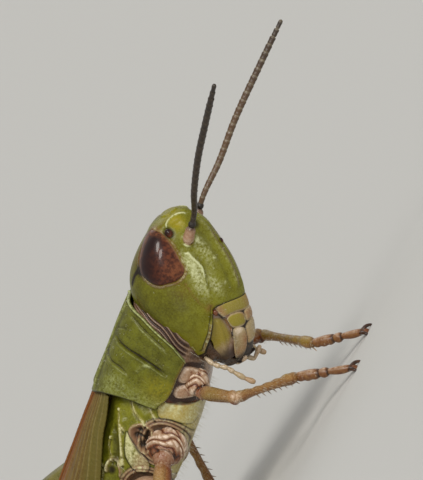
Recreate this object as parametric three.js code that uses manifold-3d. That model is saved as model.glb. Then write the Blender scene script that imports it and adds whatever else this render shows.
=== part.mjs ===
// A female meadow grasshopper, life size, standing on a floor: head nodded, feelers spread
// forward, forelegs reaching ahead, hind knees raised. Millimetres, +X ahead, +Y to its left, +Z up.
// The trunk is laid out along its own axis, then pitched nose-up as one; the feet stand at z = 0.
import * as THREE from "three";
import { mergeVertices } from "three/addons/utils/BufferGeometryUtils.js";
import Module from "manifold-3d";

const wasm = await Module();
wasm.setup();

// ---- driving dimensions -------------------------------------------------------------------
const GAP = 0.04; // clear space between neighbouring plates
const PITCH = THREE.MathUtils.degToRad(10); // the body's nose-up slope
const BACK_HEIGHT = 6.27; // the front of the pronotum's ridge above the floor
const SHIELD_LENGTH = 3.06; // pronotum, along the ridge
const CHEST_END = -5.6; // rear of the winged part of the chest, behind the pronotum's front
const ABDOMEN_END = -14.6;
const SEGMENTS = 9; // rings of the abdomen
const VALVE_LENGTH = 0.95; // of the egg-laying valves, past the abdomen
const WING_LENGTH = 7.6;
const WING_THICK = 0.5;
const HEAD_SLOPE = THREE.MathUtils.degToRad(39.3); // the face leans back from upright by this
const HEAD_PLACE = new THREE.Vector3(1.5, 0, -0.9);
const FEELER_LENGTH = 6.3;
const FEELER_RADIUS = 0.25;
const MIDDLE_SHIN = 2.9;
const HIND_THIGH = 10.3;
const HIND_SHIN = 9.3;
const HIND_RISE = THREE.MathUtils.degToRad(20); // slope of the hind thigh
const HIND_SPLAY = THREE.MathUtils.degToRad(8);
const FOOT_LENGTH = { middle: 1.7, hind: 2.4 };
const FOOT_RADIUS = 0.26;
const TOE_HEIGHT = 0.13; // the last toe's middle, a little nearer the floor than its radius
const SIDES = { right: -1, left: 1 };

// ---- colours --------------------------------------------------------------------------------
const paint = (color, roughness = 0.45) =>
  new THREE.MeshStandardMaterial({ color, roughness, metalness: 0 });
const GREEN = paint(0x6f7d22);
const DEEP_GREEN = paint(0x5c7428);
const EYE_BROWN = paint(0x4a1c12, 0.15);
const FEELER_BROWN = paint(0x3b2a1e, 0.55);
const LIP_TAN = paint(0xa58a55);
const JAW_GREY = paint(0x7a6a50);
const FLESH_BROWN = paint(0x7a5440);
const CHEST_YELLOW = paint(0x9a8f45);
const LEG_RUST = paint(0x93552c);
const LEG_OLIVE = paint(0x8a7a35);
const WING_BROWN = paint(0x7d5a2c, 0.6);

// ---- shape helpers --------------------------------------------------------------------------
const vec = (x, y, z) => new THREE.Vector3(x, y, z);

/** Values named in `rows`, blended smoothly along the first of them. */
function blended(rows, names) {
  const at = rows.map((row) => row[0]);
  const rising = at[at.length - 1] > at[0];
  const order = rising ? rows : [...rows].reverse();
  const track = new THREE.CubicInterpolant(
    order.map((row) => row[0]),
    order.flatMap((row) => names.map((_, i) => row[i + 1])),
    names.length,
  );
  return (x) => {
    const found = track.evaluate(x);
    return Object.fromEntries(names.map((name, i) => [name, found[i]]));
  };
}

/** A capped tube whose every point is put in place by place(along 0..1, angle, out 0..1). */
function tube(place, sides, steps) {
  const geometry = new THREE.CylinderGeometry(1, 1, 1, sides, steps);
  geometry.deleteAttribute("normal");
  geometry.deleteAttribute("uv");
  const position = geometry.attributes.position;
  for (let i = 0; i < position.count; i++) {
    const x = position.getX(i);
    const z = position.getZ(i);
    const spot = place(position.getY(i) + 0.5, Math.atan2(z, x), Math.hypot(x, z));
    position.setXYZ(i, spot.x, spot.y, spot.z);
  }
  return solid(geometry);
}

/** A closed three.js geometry as a manifold solid, for cutting and joining. */
function solid(geometry) {
  const bare = geometry.clone();
  bare.deleteAttribute("normal");
  bare.deleteAttribute("uv");
  const merged = mergeVertices(bare, 1e-4);
  return new wasm.Manifold(
    new wasm.Mesh({
      numProp: 3,
      vertProperties: new Float32Array(merged.attributes.position.array),
      triVerts: new Uint32Array(merged.index.array),
    }),
  );
}

/** A manifold solid as a three.js geometry. */
function geometryOf(body) {
  const made = body.getMesh();
  const geometry = new THREE.BufferGeometry();
  geometry.setAttribute(
    "position",
    new THREE.BufferAttribute(new Float32Array(made.vertProperties), 3),
  );
  geometry.setIndex(new THREE.BufferAttribute(new Uint32Array(made.triVerts), 1));
  return geometry;
}

const power = (value, exponent) => Math.sign(value) * Math.abs(value) ** exponent;

/** A trunk piece along X from rows of [x, top, bottom, half width, lean, square]. */
function trunk(rows, { sides = 18, steps = 12, grow = 0 } = {}) {
  const at = blended(rows, ["top", "bottom", "wide", "lean", "square"]);
  const ends = [rows[0][0], rows[rows.length - 1][0]];
  const reach = Math.sign(ends[1] - ends[0]) * grow;
  return tube(
    (along, angle, out) => {
      const inner = THREE.MathUtils.lerp(ends[0], ends[1], along);
      const { top, bottom, wide, lean, square } = at(inner);
      const up = power(Math.sin(angle), 2 / square);
      const side = power(Math.cos(angle), 2 / square) * (1 - lean * up);
      return vec(
        THREE.MathUtils.lerp(ends[0] - reach, ends[1] + reach, along),
        side * (wide + grow) * out,
        (top + bottom) / 2 + up * ((top - bottom) / 2 + grow) * out,
      );
    },
    sides,
    steps,
  );
}

/** A limb along a curve from rows of [share of the length, half height, half width]. */
function limb(curve, rows, { sides = 8, steps = 6, grow = 0, up = vec(0, 0, 1) } = {}) {
  const at = blended(rows, ["high", "wide"]);
  const length = curve.getLength();
  return tube(
    (along, angle, out) => {
      const { high, wide } = at(along);
      const ahead = curve.getTangentAt(along);
      const side = ahead.clone().cross(up).normalize();
      const above = side.clone().cross(ahead);
      const past = (along - 0.5) * 2 * grow * Math.min(1, length);
      return curve
        .getPointAt(along)
        .addScaledVector(ahead, past)
        .addScaledVector(above, Math.sin(angle) * (high + grow) * out)
        .addScaledVector(side, Math.cos(angle) * (wide + grow) * out);
    },
    sides,
    steps,
  );
}

const straight = (from, to) => new THREE.LineCurve3(from, to);

/** An egg of the given half sizes about a centre. */
function egg(centre, [a, b, c], { grow = 0, turn = 0, detail = 14 } = {}) {
  const geometry = new THREE.SphereGeometry(1, detail, Math.round(detail * 0.6));
  geometry.scale(a + grow, b + grow, c + grow);
  geometry.rotateY(turn);
  geometry.translate(centre.x, centre.y, centre.z);
  return solid(geometry);
}

/** The side outline [[x, z], ...] as a slab across Y from y0 to y1. */
function slab(outline, y0, y1, rounded = true) {
  const points = outline.map(([x, z]) => new THREE.Vector2(x, z));
  const shape = new THREE.Shape();
  if (rounded) {
    const curve = new THREE.SplineCurve([...points, points[0]]);
    shape.setFromPoints(curve.getSpacedPoints(outline.length * 2).slice(0, -1));
  } else shape.setFromPoints(points);
  const geometry = new THREE.ExtrudeGeometry(shape, {
    depth: y1 - y0,
    bevelEnabled: false,
  });
  geometry.rotateX(Math.PI / 2);
  geometry.translate(0, y1, 0);
  return solid(geometry);
}

/** A box between two corners. */
function block([x0, y0, z0], [x1, y1, z1]) {
  const geometry = new THREE.BoxGeometry(x1 - x0, y1 - y0, z1 - z0);
  geometry.translate((x0 + x1) / 2, (y0 + y1) / 2, (z0 + z1) / 2);
  return solid(geometry);
}

const cut = (body, ...tools) => tools.reduce((left, tool) => left.subtract(tool), body);
const join = (first, ...rest) => rest.reduce((sum, piece) => sum.add(piece), first);

/** A solid carried from one frame to another. */
const moved = (body, matrix) => solid(geometryOf(body).applyMatrix4(matrix));

function mesh(name, body, material) {
  const found = new THREE.Mesh(geometryOf(body), material);
  found.name = name;
  return found;
}

// ---- frames ---------------------------------------------------------------------------------
const stance = new THREE.Group(); // the trunk's frame: pitched nose-up and lifted off the floor
stance.rotation.y = -PITCH;
stance.position.z = BACK_HEIGHT;
stance.updateMatrix();
const headFrame = new THREE.Group(); // the head's own upright frame, leaning back in the trunk's
headFrame.rotation.y = HEAD_SLOPE;
headFrame.position.copy(HEAD_PLACE);
headFrame.updateMatrix();
const ground = new THREE.Group(); // the floor's frame, which holds the legs
const onFloor = (x, y, z) => vec(x, y, z).applyMatrix4(stance.matrix);
const inTrunk = (body) => moved(body, headFrame.matrix);
const inGround = (body) => moved(body, stance.matrix);

// ---- trunk solids ---------------------------------------------------------------------------
const shieldBlock = (grow = 0) =>
  trunk(
    [
      [0.45, 0.0, -2.5, 1.42, 0.2, 3.4],
      [-0.6, 0.02, -2.5, 1.52, 0.16, 3.2],
      [-1.6, 0.0, -2.5, 1.62, 0.15, 3.1],
      [-2.6, 0.0, -2.5, 1.78, 0.16, 3.1],
      [-3.2, -0.02, -2.5, 1.84, 0.18, 3.1],
    ],
    { grow, sides: 24, steps: 5 },
  );
const shieldSide = [
  [0.28, 0.4],
  [0.26, -0.1],
  [0.08, -1.1],
  [-0.26, -1.75],
  [-0.46, -2.27],
  [-0.9, -2.16],
  [-1.62, -2.12],
  [-2.02, -1.92],
  [-2.14, -1.3],
  [-2.5, -0.4],
  [-SHIELD_LENGTH, 0.02],
  [-SHIELD_LENGTH - 0.1, 0.4],
];
const foreChest = (grow = 0) =>
  trunk(
    [
      [0.1, -0.6, -2.3, 0.8, 0.05, 2.2],
      [-0.4, -0.5, -2.75, 1.12, 0.05, 2.4],
      [-1.2, -0.45, -3.0, 1.3, 0.05, 2.6],
      [-2.15, -0.45, -3.1, 1.4, 0.05, 2.6],
    ],
    { grow, steps: 5 },
  );
const windChest = (grow = 0) =>
  trunk(
    [
      [-2.15, -0.55, -3.14, 1.4, 0.14, 2.8],
      [-3.0, -0.62, -3.2, 1.64, 0.14, 2.8],
      [-4.2, -0.66, -3.2, 1.64, 0.14, 2.7],
      [CHEST_END, -0.72, -3.12, 1.52, 0.12, 2.5],
    ],
    { grow, steps: 6 },
  );

/** The abdomen narrows to its tip, and the rear edge of each ring stands a little proud. */
function abdomenRows() {
  const rows = [];
  const size = blended(
    [
      [0, -0.74, -3.1, 1.56],
      [0.35, -0.78, -3.12, 1.5],
      [0.7, -0.92, -2.88, 1.16],
      [0.9, -1.15, -2.55, 0.8],
      [1, -1.4, -2.3, 0.5],
    ],
    ["top", "bottom", "wide"],
  );
  const length = ABDOMEN_END - CHEST_END;
  const flare = 0.05;
  for (let i = 0; i < SEGMENTS; i++)
    for (const [share, out] of [
      [0.02, 0],
      [0.98, 1],
    ]) {
      const t = (i + share) / SEGMENTS;
      const { top, bottom, wide } = size(t);
      rows.push([
        CHEST_END - GAP + length * t,
        top + flare * out,
        bottom - flare * out,
        wide + flare * out,
        0.06,
        2.3,
      ]);
    }
  return rows;
}
const abdomen = (grow = 0) =>
  trunk(abdomenRows(), { grow, sides: 16, steps: SEGMENTS * 2 });

// The forewings lie roof-like on the chest and abdomen, in a shell one wing thick.
const wingBed = (grow) =>
  trunk(
    [
      [-2.3, -0.6, -3.2, 1.5, 0.16, 2.8],
      [-3.2, -0.64, -3.2, 1.64, 0.16, 2.8],
      [-4.6, -0.68, -3.2, 1.62, 0.14, 2.7],
      [-6.5, -0.7, -3.15, 1.55, 0.12, 2.5],
      [-8.5, -0.74, -3.15, 1.52, 0.1, 2.4],
      [-10.6, -0.84, -3.05, 1.4, 0.1, 2.4],
    ],
    { grow, sides: 16, steps: 5 },
  );
const wingFront = -2.55;
const wingSide = [
  [wingFront, 0.3],
  [wingFront, -0.95],
  [-3.6, -1.25],
  [-5.2, -1.5],
  [-7.2, -1.62],
  [-9.0, -1.45],
  [wingFront - WING_LENGTH, -0.75],
  [-9.7, -0.1],
  [-8.6, 0.3],
];

// ---- head solids, in the head's own frame -----------------------------------------------------
const EYE_PLACE = vec(0.11, 0.75, 0.65);
const EYE_SIZE = [0.56, 0.54, 0.76];
const eye = (side, grow = 0) =>
  egg(vec(EYE_PLACE.x, EYE_PLACE.y * side, EYE_PLACE.z), EYE_SIZE, {
    grow,
    turn: -0.12,
  });

/** The head upright, from rows of [z, front, back, half width, front sharpness]. */
function headForm(grow = 0) {
  const rows = [
    [1.57, 0.95, 0.5, 0.2, 1.8],
    [1.5, 1.08, 0.18, 0.42, 1.8],
    [1.27, 1.27, -0.22, 0.66, 1.7],
    [0.95, 1.47, -0.68, 0.88, 1.5],
    [0.55, 1.58, -1.12, 1.08, 1.35],
    [0.0, 1.64, -1.38, 1.26, 1.3],
    [-0.55, 1.64, -1.3, 1.35, 1.3],
    [-1.1, 1.54, -1.06, 1.36, 1.35],
    [-1.6, 1.38, -0.8, 1.28, 1.45],
    [-2.2, 1.24, -0.5, 1.12, 1.6],
    [-2.8, 0.98, -0.28, 0.86, 1.8],
    [-3.25, 0.68, -0.05, 0.5, 2.0],
  ];
  const at = blended(rows, ["front", "back", "wide", "sharp"]);
  return tube(
    (along, angle, out) => {
      const z = THREE.MathUtils.lerp(rows[0][0], rows[rows.length - 1][0], along);
      const { front, back, wide, sharp } = at(z);
      const middle = THREE.MathUtils.lerp(back, front, 0.42);
      const ahead = Math.cos(angle) > 0;
      const round = ahead ? sharp : 2.4;
      const reach = ahead ? front - middle : middle - back;
      return vec(
        middle + power(Math.cos(angle), 2 / round) * (reach + grow) * out,
        power(Math.sin(angle), 2 / round) * (wide + grow) * out,
        z + (0.5 - along) * 2 * grow,
      );
    },
    22,
    14,
  );
}
const MOUTH_CORNER = [0.62, -1.26]; // where the jaw is hinged
const FACE_FOOT = [1.75, -1.78]; // the line between brow plate and upper lip, past the face
const CHEEK_FOOT = [-0.08, -2.13];
const capsuleSide = [
  [2, 2],
  [2, -1.89],
  FACE_FOOT,
  MOUTH_CORNER,
  CHEEK_FOOT,
  [-0.62, -2.0],
  [-2, -1.2],
  [-2, 2],
];
const lipSide = [
  [2.2, -2.05],
  [FACE_FOOT[0], FACE_FOOT[1] - GAP],
  [MOUTH_CORNER[0] + 0.06, MOUTH_CORNER[1] - GAP - 0.01],
  [0.78, -2.1],
  [0.42, -2.8],
  [0.3, -3.4],
  [1.4, -3.4],
];
const jawSide = [
  [MOUTH_CORNER[0], MOUTH_CORNER[1] - GAP * 1.6],
  [0.73, -2.1],
  [0.36, -2.8],
  [0.1, -2.86],
  [0.0, -2.62],
  [CHEEK_FOOT[0] + GAP * 1.5, CHEEK_FOOT[1] - GAP * 0.6],
];
const underSide = [
  [-0.12, -2.17],
  [-0.05, -2.66],
  [0.06, -2.92],
  [0.36, -2.86],
  [0.24, -3.2],
  [-0.3, -3.1],
  [-0.75, -2.4],
  [-0.7, -2.06],
];

const headSolid = headForm();
const across = [-3, 3];
const capsule = cut(
  headSolid.intersect(slab(capsuleSide, ...across, false)),
  eye(-1, GAP),
  eye(1, GAP),
);
const upperLip = headSolid.intersect(slab(lipSide, ...across, false));
const jawHalf = headSolid.intersect(slab(jawSide, ...across, false));
const underMouth = headSolid.intersect(slab(underSide, ...across, false));

// ---- limbs --------------------------------------------------------------------------------------
/** Coxa and trochanter: a stout cone out of the chest, from hip to the thigh's root. */
const hipPiece = (from, to, radius, grow = 0) =>
  limb(straight(from, to), [
    [0, radius * 0.75, radius * 0.8],
    [0.35, radius, radius],
    [0.75, radius * 0.72, radius * 0.72],
    [1, radius * 0.45, radius * 0.45],
  ], { grow, steps: 4, sides: 10 });

/** A walking leg's thigh: fullest in the middle, with a knob at the knee. */
const thigh = (from, to, radius, grow = 0) =>
  limb(straight(from, to), [
    [0, radius * 0.6, radius * 0.6],
    [0.12, radius * 0.9, radius * 0.85],
    [0.45, radius, radius * 0.9],
    [0.82, radius * 0.82, radius * 0.8],
    [0.93, radius * 0.95, radius * 0.85],
    [1, radius * 0.7, radius * 0.65],
  ], { grow, steps: 5, sides: 7 });

/** A shin: slender, widening at both ends. */
const shin = (from, to, radius, grow = 0) =>
  limb(straight(from, to), [
    [0, radius * 0.8, radius * 0.8],
    [0.08, radius * 1.08, radius * 1.05],
    [0.3, radius * 0.95, radius * 0.92],
    [0.9, radius * 1.0, radius * 1.0],
    [1, radius * 0.85, radius * 0.85],
  ], { grow, steps: 5, sides: 7 });

/** A foot: a lobed sole of two pads, a slender toe and two claws round a small cushion. */
function foot(heel, toe, radius) {
  const line = straight(heel, toe);
  const ahead = toe.clone().sub(heel).normalize();
  const side = ahead.clone().cross(vec(0, 0, 1)).normalize();
  const sole = limb(line, [
    [0, radius * 0.8, radius * 0.8],
    [0.2, radius, radius],
    [0.4, radius * 0.8, radius * 0.82],
    [0.6, radius * 0.92, radius * 0.94],
    [0.8, radius * 0.66, radius * 0.66],
    [1, radius * 0.66, radius * 0.74],
  ], { steps: 5, sides: 6 });
  const claws = [-1, 1].map((hand) => {
    const root = toe.clone().addScaledVector(side, hand * radius * 0.35);
    const knuckle = root
      .clone()
      .addScaledVector(ahead, radius * 1.1)
      .addScaledVector(side, hand * radius * 0.75);
    const tip = knuckle
      .clone()
      .addScaledVector(ahead, radius * 0.7)
      .addScaledVector(side, hand * radius * 0.25)
      .add(vec(0, 0, -radius * 0.9));
    return limb(new THREE.QuadraticBezierCurve3(root, knuckle, tip), [
      [0, radius * 0.42, radius * 0.42],
      [0.6, radius * 0.3, radius * 0.3],
      [1, radius * 0.1, radius * 0.1],
    ], { steps: 2, sides: 4, up: vec(0.3, 0.2, 1) });
  });
  return join(sole, ...claws);
}
const aboveFloor = block([-30, -30, 0], [30, 30, 30]);

/** One leg's four nodes. The joints are points on the floor's frame. */
function leg(name, joints, sizes, chestCuts) {
  const { hip, root, knee, ankle, toe } = joints;
  const coxa = (grow) => hipPiece(hip, root, sizes.coxa, grow);
  const femur = (grow) =>
    (sizes.bigThigh ? jumpingThigh : thigh)(root, knee, sizes.femur, grow);
  const tibia = (grow) =>
    (sizes.bigThigh ? jumpingShin : shin)(knee, ankle, sizes.tibia, grow);
  const tarsus = foot(ankle, toe, sizes.tarsus).intersect(aboveFloor);
  return [
    mesh(name + "_coxa", cut(coxa(0), ...chestCuts), FLESH_BROWN),
    mesh(name + "_femur", cut(femur(0), coxa(GAP), ...chestCuts), sizes.paint),
    mesh(name + "_tibia", cut(tibia(0), femur(GAP)), LEG_RUST),
    mesh(name + "_tarsus", cut(tarsus, tibia(GAP)), LEG_RUST),
  ];
}

/** The hind thigh: deep and narrow, tapering to a bulbous knee. */
function jumpingThigh(from, to, radius, grow = 0) {
  return limb(straight(from, to), [
    [0, radius * 0.3, radius * 0.26],
    [0.05, radius * 0.62, radius * 0.4],
    [0.14, radius * 0.9, radius * 0.46],
    [0.3, radius * 1.0, radius * 0.5],
    [0.48, radius * 0.86, radius * 0.45],
    [0.68, radius * 0.52, radius * 0.34],
    [0.84, radius * 0.32, radius * 0.25],
    [0.92, radius * 0.36, radius * 0.27],
    [0.97, radius * 0.38, radius * 0.27],
    [1, radius * 0.28, radius * 0.2],
  ], { grow, sides: 10, steps: 9 });
}

/** The hind shin: long and straight, thicker at the knee and at the ankle. */
const jumpingShin = (from, to, radius, grow = 0) =>
  limb(straight(going(from, to.clone().sub(from), radius * 1.6), to), [
    [0, radius * 0.9, radius * 0.8],
    [0.04, radius * 1.25, radius * 1.0],
    [0.1, radius * 0.9, radius * 0.9],
    [0.5, radius * 0.92, radius * 0.92],
    [0.94, radius * 1.15, radius * 1.15],
    [1, radius * 0.9, radius * 0.9],
  ], { grow, steps: 6, sides: 7 });

/** A point at `length` from a start, going the given way. */
const going = (start, way, length) =>
  start.clone().addScaledVector(way.clone().normalize(), length);

/** Where a shin of the given length from the knee meets the floor, leaning along (x, y). */
function ankleAt(knee, length, lean, height) {
  const drop = knee.z - height;
  const run = Math.sqrt(length ** 2 - drop ** 2);
  const way = vec(lean[0], lean[1], 0).normalize();
  return knee.clone().addScaledVector(way, run).setZ(height);
}

// The forelegs reach ahead and down on the tips of their feet; the far one a little lower.
const FORE_JOINTS = {
  right: {
    hip: [-0.98, -0.85, -2.5],
    root: [-1.16, -1.3, -2.96],
    knee: [-0.06, -3.0, -3.83],
    ankle: [0.39, -1.25, -5.19],
    toe: [1.4, -1.45, -6.41],
  },
  left: {
    hip: [-0.98, 0.85, -2.5],
    root: [-1.16, 1.3, -2.96],
    knee: [-0.87, 3.0, -3.93],
    ankle: [0.33, 1.3, -5.34],
    toe: [1.37, 1.05, -6.46],
  },
};
function foreJoints(name) {
  const joints = Object.fromEntries(
    Object.entries(FORE_JOINTS[name]).map(([joint, place]) => [joint, onFloor(...place)]),
  );
  joints.toe.z = TOE_HEIGHT;
  return joints;
}

// The middle legs point out and back; the left one is swung further back.
const MIDDLE_KNEE = { right: [-4.4, -4.2, -3.4], left: [-5.0, 3.9, -2.7] };
const MIDDLE_LEAN = { right: [-0.8, -0.6], left: [-1, 0.15] };

function middleJoints(name) {
  const side = SIDES[name];
  const hip = onFloor(-3.1, side * 1.1, -2.35);
  const root = onFloor(-3.3, side * 1.9, -2.65);
  const knee = onFloor(...MIDDLE_KNEE[name]);
  const ankle = ankleAt(knee, MIDDLE_SHIN, MIDDLE_LEAN[name], FOOT_RADIUS + 0.1);
  const toe = going(ankle, vec(-0.6, side, 0), FOOT_LENGTH.middle);
  toe.z = TOE_HEIGHT;
  return { hip, root, knee, ankle, toe };
}

function hindJoints(name) {
  const side = SIDES[name];
  const hip = onFloor(-4.55, side * 1.2, -2.6);
  const root = onFloor(-4.85, side * 2.4, -2.8);
  const flat = Math.cos(HIND_RISE);
  const way = vec(
    -flat * Math.cos(HIND_SPLAY),
    side * flat * Math.sin(HIND_SPLAY),
    Math.sin(HIND_RISE),
  );
  const knee = going(root, way, HIND_THIGH);
  const ankle = ankleAt(knee, HIND_SHIN, [1, side * 0.12], FOOT_RADIUS + 0.12);
  const toe = going(ankle, vec(-1, side * 0.35, 0), FOOT_LENGTH.hind);
  toe.z = TOE_HEIGHT;
  return { hip, root, knee, ankle, toe };
}

// ---- feelers and palps, in the trunk's frame ------------------------------------------------
function feeler(side) {
  const root = vec(0.98, side * 0.52, 0.66).applyMatrix4(headFrame.matrix);
  const spread = THREE.MathUtils.degToRad(23);
  const rise = THREE.MathUtils.degToRad(side < 0 ? 9 : 0);
  const way = vec(
    Math.cos(spread) * Math.cos(rise),
    side * Math.sin(spread) * Math.cos(rise),
    Math.sin(rise),
  );
  const droop = vec(0, 0, -0.35);
  const middle = going(root, way, FEELER_LENGTH * 0.5).addScaledVector(droop, -0.5);
  const tip = going(root, way, FEELER_LENGTH);
  const curve = new THREE.QuadraticBezierCurve3(root, middle, tip);
  return limb(curve, [
    [0, FEELER_RADIUS * 0.9, FEELER_RADIUS * 0.9],
    [0.06, FEELER_RADIUS * 1.1, FEELER_RADIUS * 1.1],
    [0.12, FEELER_RADIUS * 0.95, FEELER_RADIUS * 0.95],
    [0.9, FEELER_RADIUS, FEELER_RADIUS],
    [1, FEELER_RADIUS * 0.55, FEELER_RADIUS * 0.55],
  ], { steps: 7, sides: 7 });
}

function palp(side) {
  const points = [
    vec(0.0, side * 0.8, -2.68),
    vec(0.0, side * 0.98, -3.02),
    vec(0.22, side * 1.08, -3.35),
    vec(0.55, side * 1.05, -3.75),
  ];
  return limb(new THREE.CatmullRomCurve3(points), [
    [0, 0.16, 0.16],
    [0.3, 0.2, 0.2],
    [0.65, 0.2, 0.2],
    [0.95, 0.2, 0.2],
    [1, 0.13, 0.13],
  ], { steps: 5, sides: 7, up: vec(1, 0, 0.2) });
}

// ---- assembly ---------------------------------------------------------------------------------
const headInTrunk = inTrunk(headForm(GAP));
const eyesGrown = [inTrunk(eye(-1, GAP)), inTrunk(eye(1, GAP))];
const shieldShell = (grow = 0) => shieldBlock(grow).intersect(slab(shieldSide, -4, 4));

stance.add(headFrame);
headFrame.add(mesh("head", capsule, GREEN));
headFrame.add(mesh("clypeus_and_labrum", upperLip, LIP_TAN));
headFrame.add(mesh("labium", underMouth, FLESH_BROWN));
for (const [name, side] of Object.entries(SIDES)) {
  const half = side < 0 ? block([-3, -3, -4], [3, -GAP / 2, 3]) : block([-3, GAP / 2, -4], [3, 3, 3]);
  headFrame.add(mesh("eye_" + name, eye(side), EYE_BROWN));
  headFrame.add(mesh("mandible_" + name, jawHalf.intersect(half), JAW_GREY));
  const palpSolid = palp(side);
  headFrame.add(mesh("palp_" + name, cut(palpSolid, headForm(GAP)), LIP_TAN));
  stance.add(mesh("antenna_" + name, cut(feeler(side), headInTrunk, ...eyesGrown), FEELER_BROWN));
}

stance.add(mesh("neck_and_fore_chest", cut(foreChest(), headInTrunk), FLESH_BROWN));
stance.add(
  mesh("pronotum", cut(shieldShell(), foreChest(GAP), headInTrunk, ...eyesGrown), GREEN),
);
const shieldCut = shieldShell(GAP);
stance.add(
  mesh("winged_chest", cut(windChest(), foreChest(GAP), shieldCut), CHEST_YELLOW),
);
stance.add(mesh("abdomen", cut(abdomen(), windChest(GAP)), DEEP_GREEN));
for (const [name, side] of Object.entries(SIDES)) {
  const half =
    side < 0 ? block([-16, -4, -4], [0, -GAP / 2, 2]) : block([-16, GAP / 2, -4], [0, 4, 2]);
  const shell = wingBed(WING_THICK)
    .intersect(slab(wingSide, -4, 4))
    .intersect(half);
  const wing = cut(shell, wingBed(GAP), windChest(GAP), abdomen(GAP), shieldCut);
  stance.add(mesh("forewing_" + name, wing, WING_BROWN));
}

const tail = abdomen(GAP);
const valves = [-1, 1].map((hand) =>
  limb(
    new THREE.QuadraticBezierCurve3(
      vec(ABDOMEN_END + 0.5, 0, -1.8 + 0.16 * hand),
      vec(ABDOMEN_END - 0.55, 0, -1.8 + 0.3 * hand),
      vec(ABDOMEN_END - VALVE_LENGTH, 0, -1.8 + 0.42 * hand),
    ),
    [
      [0, 0.26, 0.3],
      [0.5, 0.25, 0.3],
      [0.85, 0.14, 0.16],
      [1, 0.05, 0.06],
    ],
    { steps: 4, sides: 8 },
  ),
);
stance.add(mesh("ovipositor", cut(join(...valves), tail), LIP_TAN));
for (const [name, side] of Object.entries(SIDES)) {
  const cercus = limb(
    straight(
      vec(ABDOMEN_END + 0.55, side * 0.45, -1.55),
      vec(ABDOMEN_END - 0.35, side * 0.86, -1.5),
    ),
    [
      [0, 0.25, 0.25],
      [0.6, 0.2, 0.2],
      [1, 0.08, 0.08],
    ],
    { steps: 3, sides: 7 },
  );
  stance.add(mesh("cercus_" + name, cut(cercus, tail, ...valves), DEEP_GREEN));
}

const chestCuts = [foreChest(GAP), windChest(GAP), shieldCut].map(inGround);
const LEG_SIZES = {
  fore: { coxa: 0.52, femur: 0.34, tibia: 0.25, tarsus: FOOT_RADIUS, paint: LEG_RUST },
  middle: { coxa: 0.6, femur: 0.36, tibia: 0.25, tarsus: FOOT_RADIUS, paint: LEG_RUST },
  hind: {
    coxa: 0.62,
    femur: 1.2,
    tibia: 0.3,
    tarsus: FOOT_RADIUS,
    paint: LEG_OLIVE,
    bigThigh: true,
  },
};
const LEG_JOINTS = { fore: foreJoints, middle: middleJoints, hind: hindJoints };
for (const [pair, joints] of Object.entries(LEG_JOINTS))
  for (const name of Object.keys(SIDES))
    for (const piece of leg(pair + "_leg_" + name, joints(name), LEG_SIZES[pair], chestCuts))
      ground.add(piece);

const insect = new THREE.Group();
insect.add(stance, ground);
insect.updateMatrixWorld(true);
const box = new THREE.Box3().setFromObject(insect, true);
insect.position.set(-(box.min.x + box.max.x) / 2, -(box.min.y + box.max.y) / 2, 0);

const model = new THREE.Group();
model.add(insect);

export default model;
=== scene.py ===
"""A female meadow grasshopper, life size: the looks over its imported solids.

Shapes are laid out in millimetres, in one of three frames: the floor's, the trunk's (X ahead
along the back, origin at the front of the pronotum's ridge) and the head's (upright on the face).
"""

import math

import bpy
import numpy as np
from mathutils import Matrix, Vector


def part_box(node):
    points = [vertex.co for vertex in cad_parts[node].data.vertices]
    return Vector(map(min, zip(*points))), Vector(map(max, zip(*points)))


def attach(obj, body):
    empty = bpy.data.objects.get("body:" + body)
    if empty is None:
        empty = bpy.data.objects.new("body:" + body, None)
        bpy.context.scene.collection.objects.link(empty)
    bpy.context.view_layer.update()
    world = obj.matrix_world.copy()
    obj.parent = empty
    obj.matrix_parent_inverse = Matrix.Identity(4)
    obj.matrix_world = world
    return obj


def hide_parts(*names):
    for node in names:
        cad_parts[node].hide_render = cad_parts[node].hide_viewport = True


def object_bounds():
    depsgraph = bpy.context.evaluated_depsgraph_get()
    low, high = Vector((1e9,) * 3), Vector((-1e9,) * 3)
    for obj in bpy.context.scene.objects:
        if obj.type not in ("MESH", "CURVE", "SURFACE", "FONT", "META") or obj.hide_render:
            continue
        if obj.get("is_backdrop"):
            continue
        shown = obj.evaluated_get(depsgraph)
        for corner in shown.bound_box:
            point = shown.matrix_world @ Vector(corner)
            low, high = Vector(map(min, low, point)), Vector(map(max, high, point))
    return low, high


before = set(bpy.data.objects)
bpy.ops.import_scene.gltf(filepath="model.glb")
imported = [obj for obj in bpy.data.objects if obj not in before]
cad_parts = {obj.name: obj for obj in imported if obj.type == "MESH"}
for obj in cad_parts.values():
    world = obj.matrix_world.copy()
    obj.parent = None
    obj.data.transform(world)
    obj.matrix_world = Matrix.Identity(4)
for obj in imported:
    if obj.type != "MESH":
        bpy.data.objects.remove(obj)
CAD_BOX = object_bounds()

# ---- frames ---------------------------------------------------------------------------------
MM = 0.001
PITCH = math.radians(10)
HEAD_LEAN = math.radians(39.3)
HEAD_PLACE = np.array([1.5, 0, -0.9])
SIDES = {"right": -1, "left": 1}

shield_low, shield_high = (np.array(corner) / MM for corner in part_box("pronotum"))
BACK = np.array([shield_high[0] - 0.288, (shield_low[1] + shield_high[1]) / 2, shield_high[2] - 0.051])


def turned(points, angle):
    """Points turned nose-up about Y."""
    x, y, z = np.asarray(points, float).T
    cos, sin = math.cos(angle), math.sin(angle)
    return np.stack([x * cos - z * sin, y, x * sin + z * cos], 1)


def on_floor(points):
    return np.asarray(points, float)


def on_trunk(points):
    return turned(points, PITCH) + BACK


def on_head(points):
    return on_trunk(turned(points, -HEAD_LEAN) + HEAD_PLACE)


def floor_point(frame_of, *point):
    return frame_of(np.array([point], float))[0]


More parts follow.
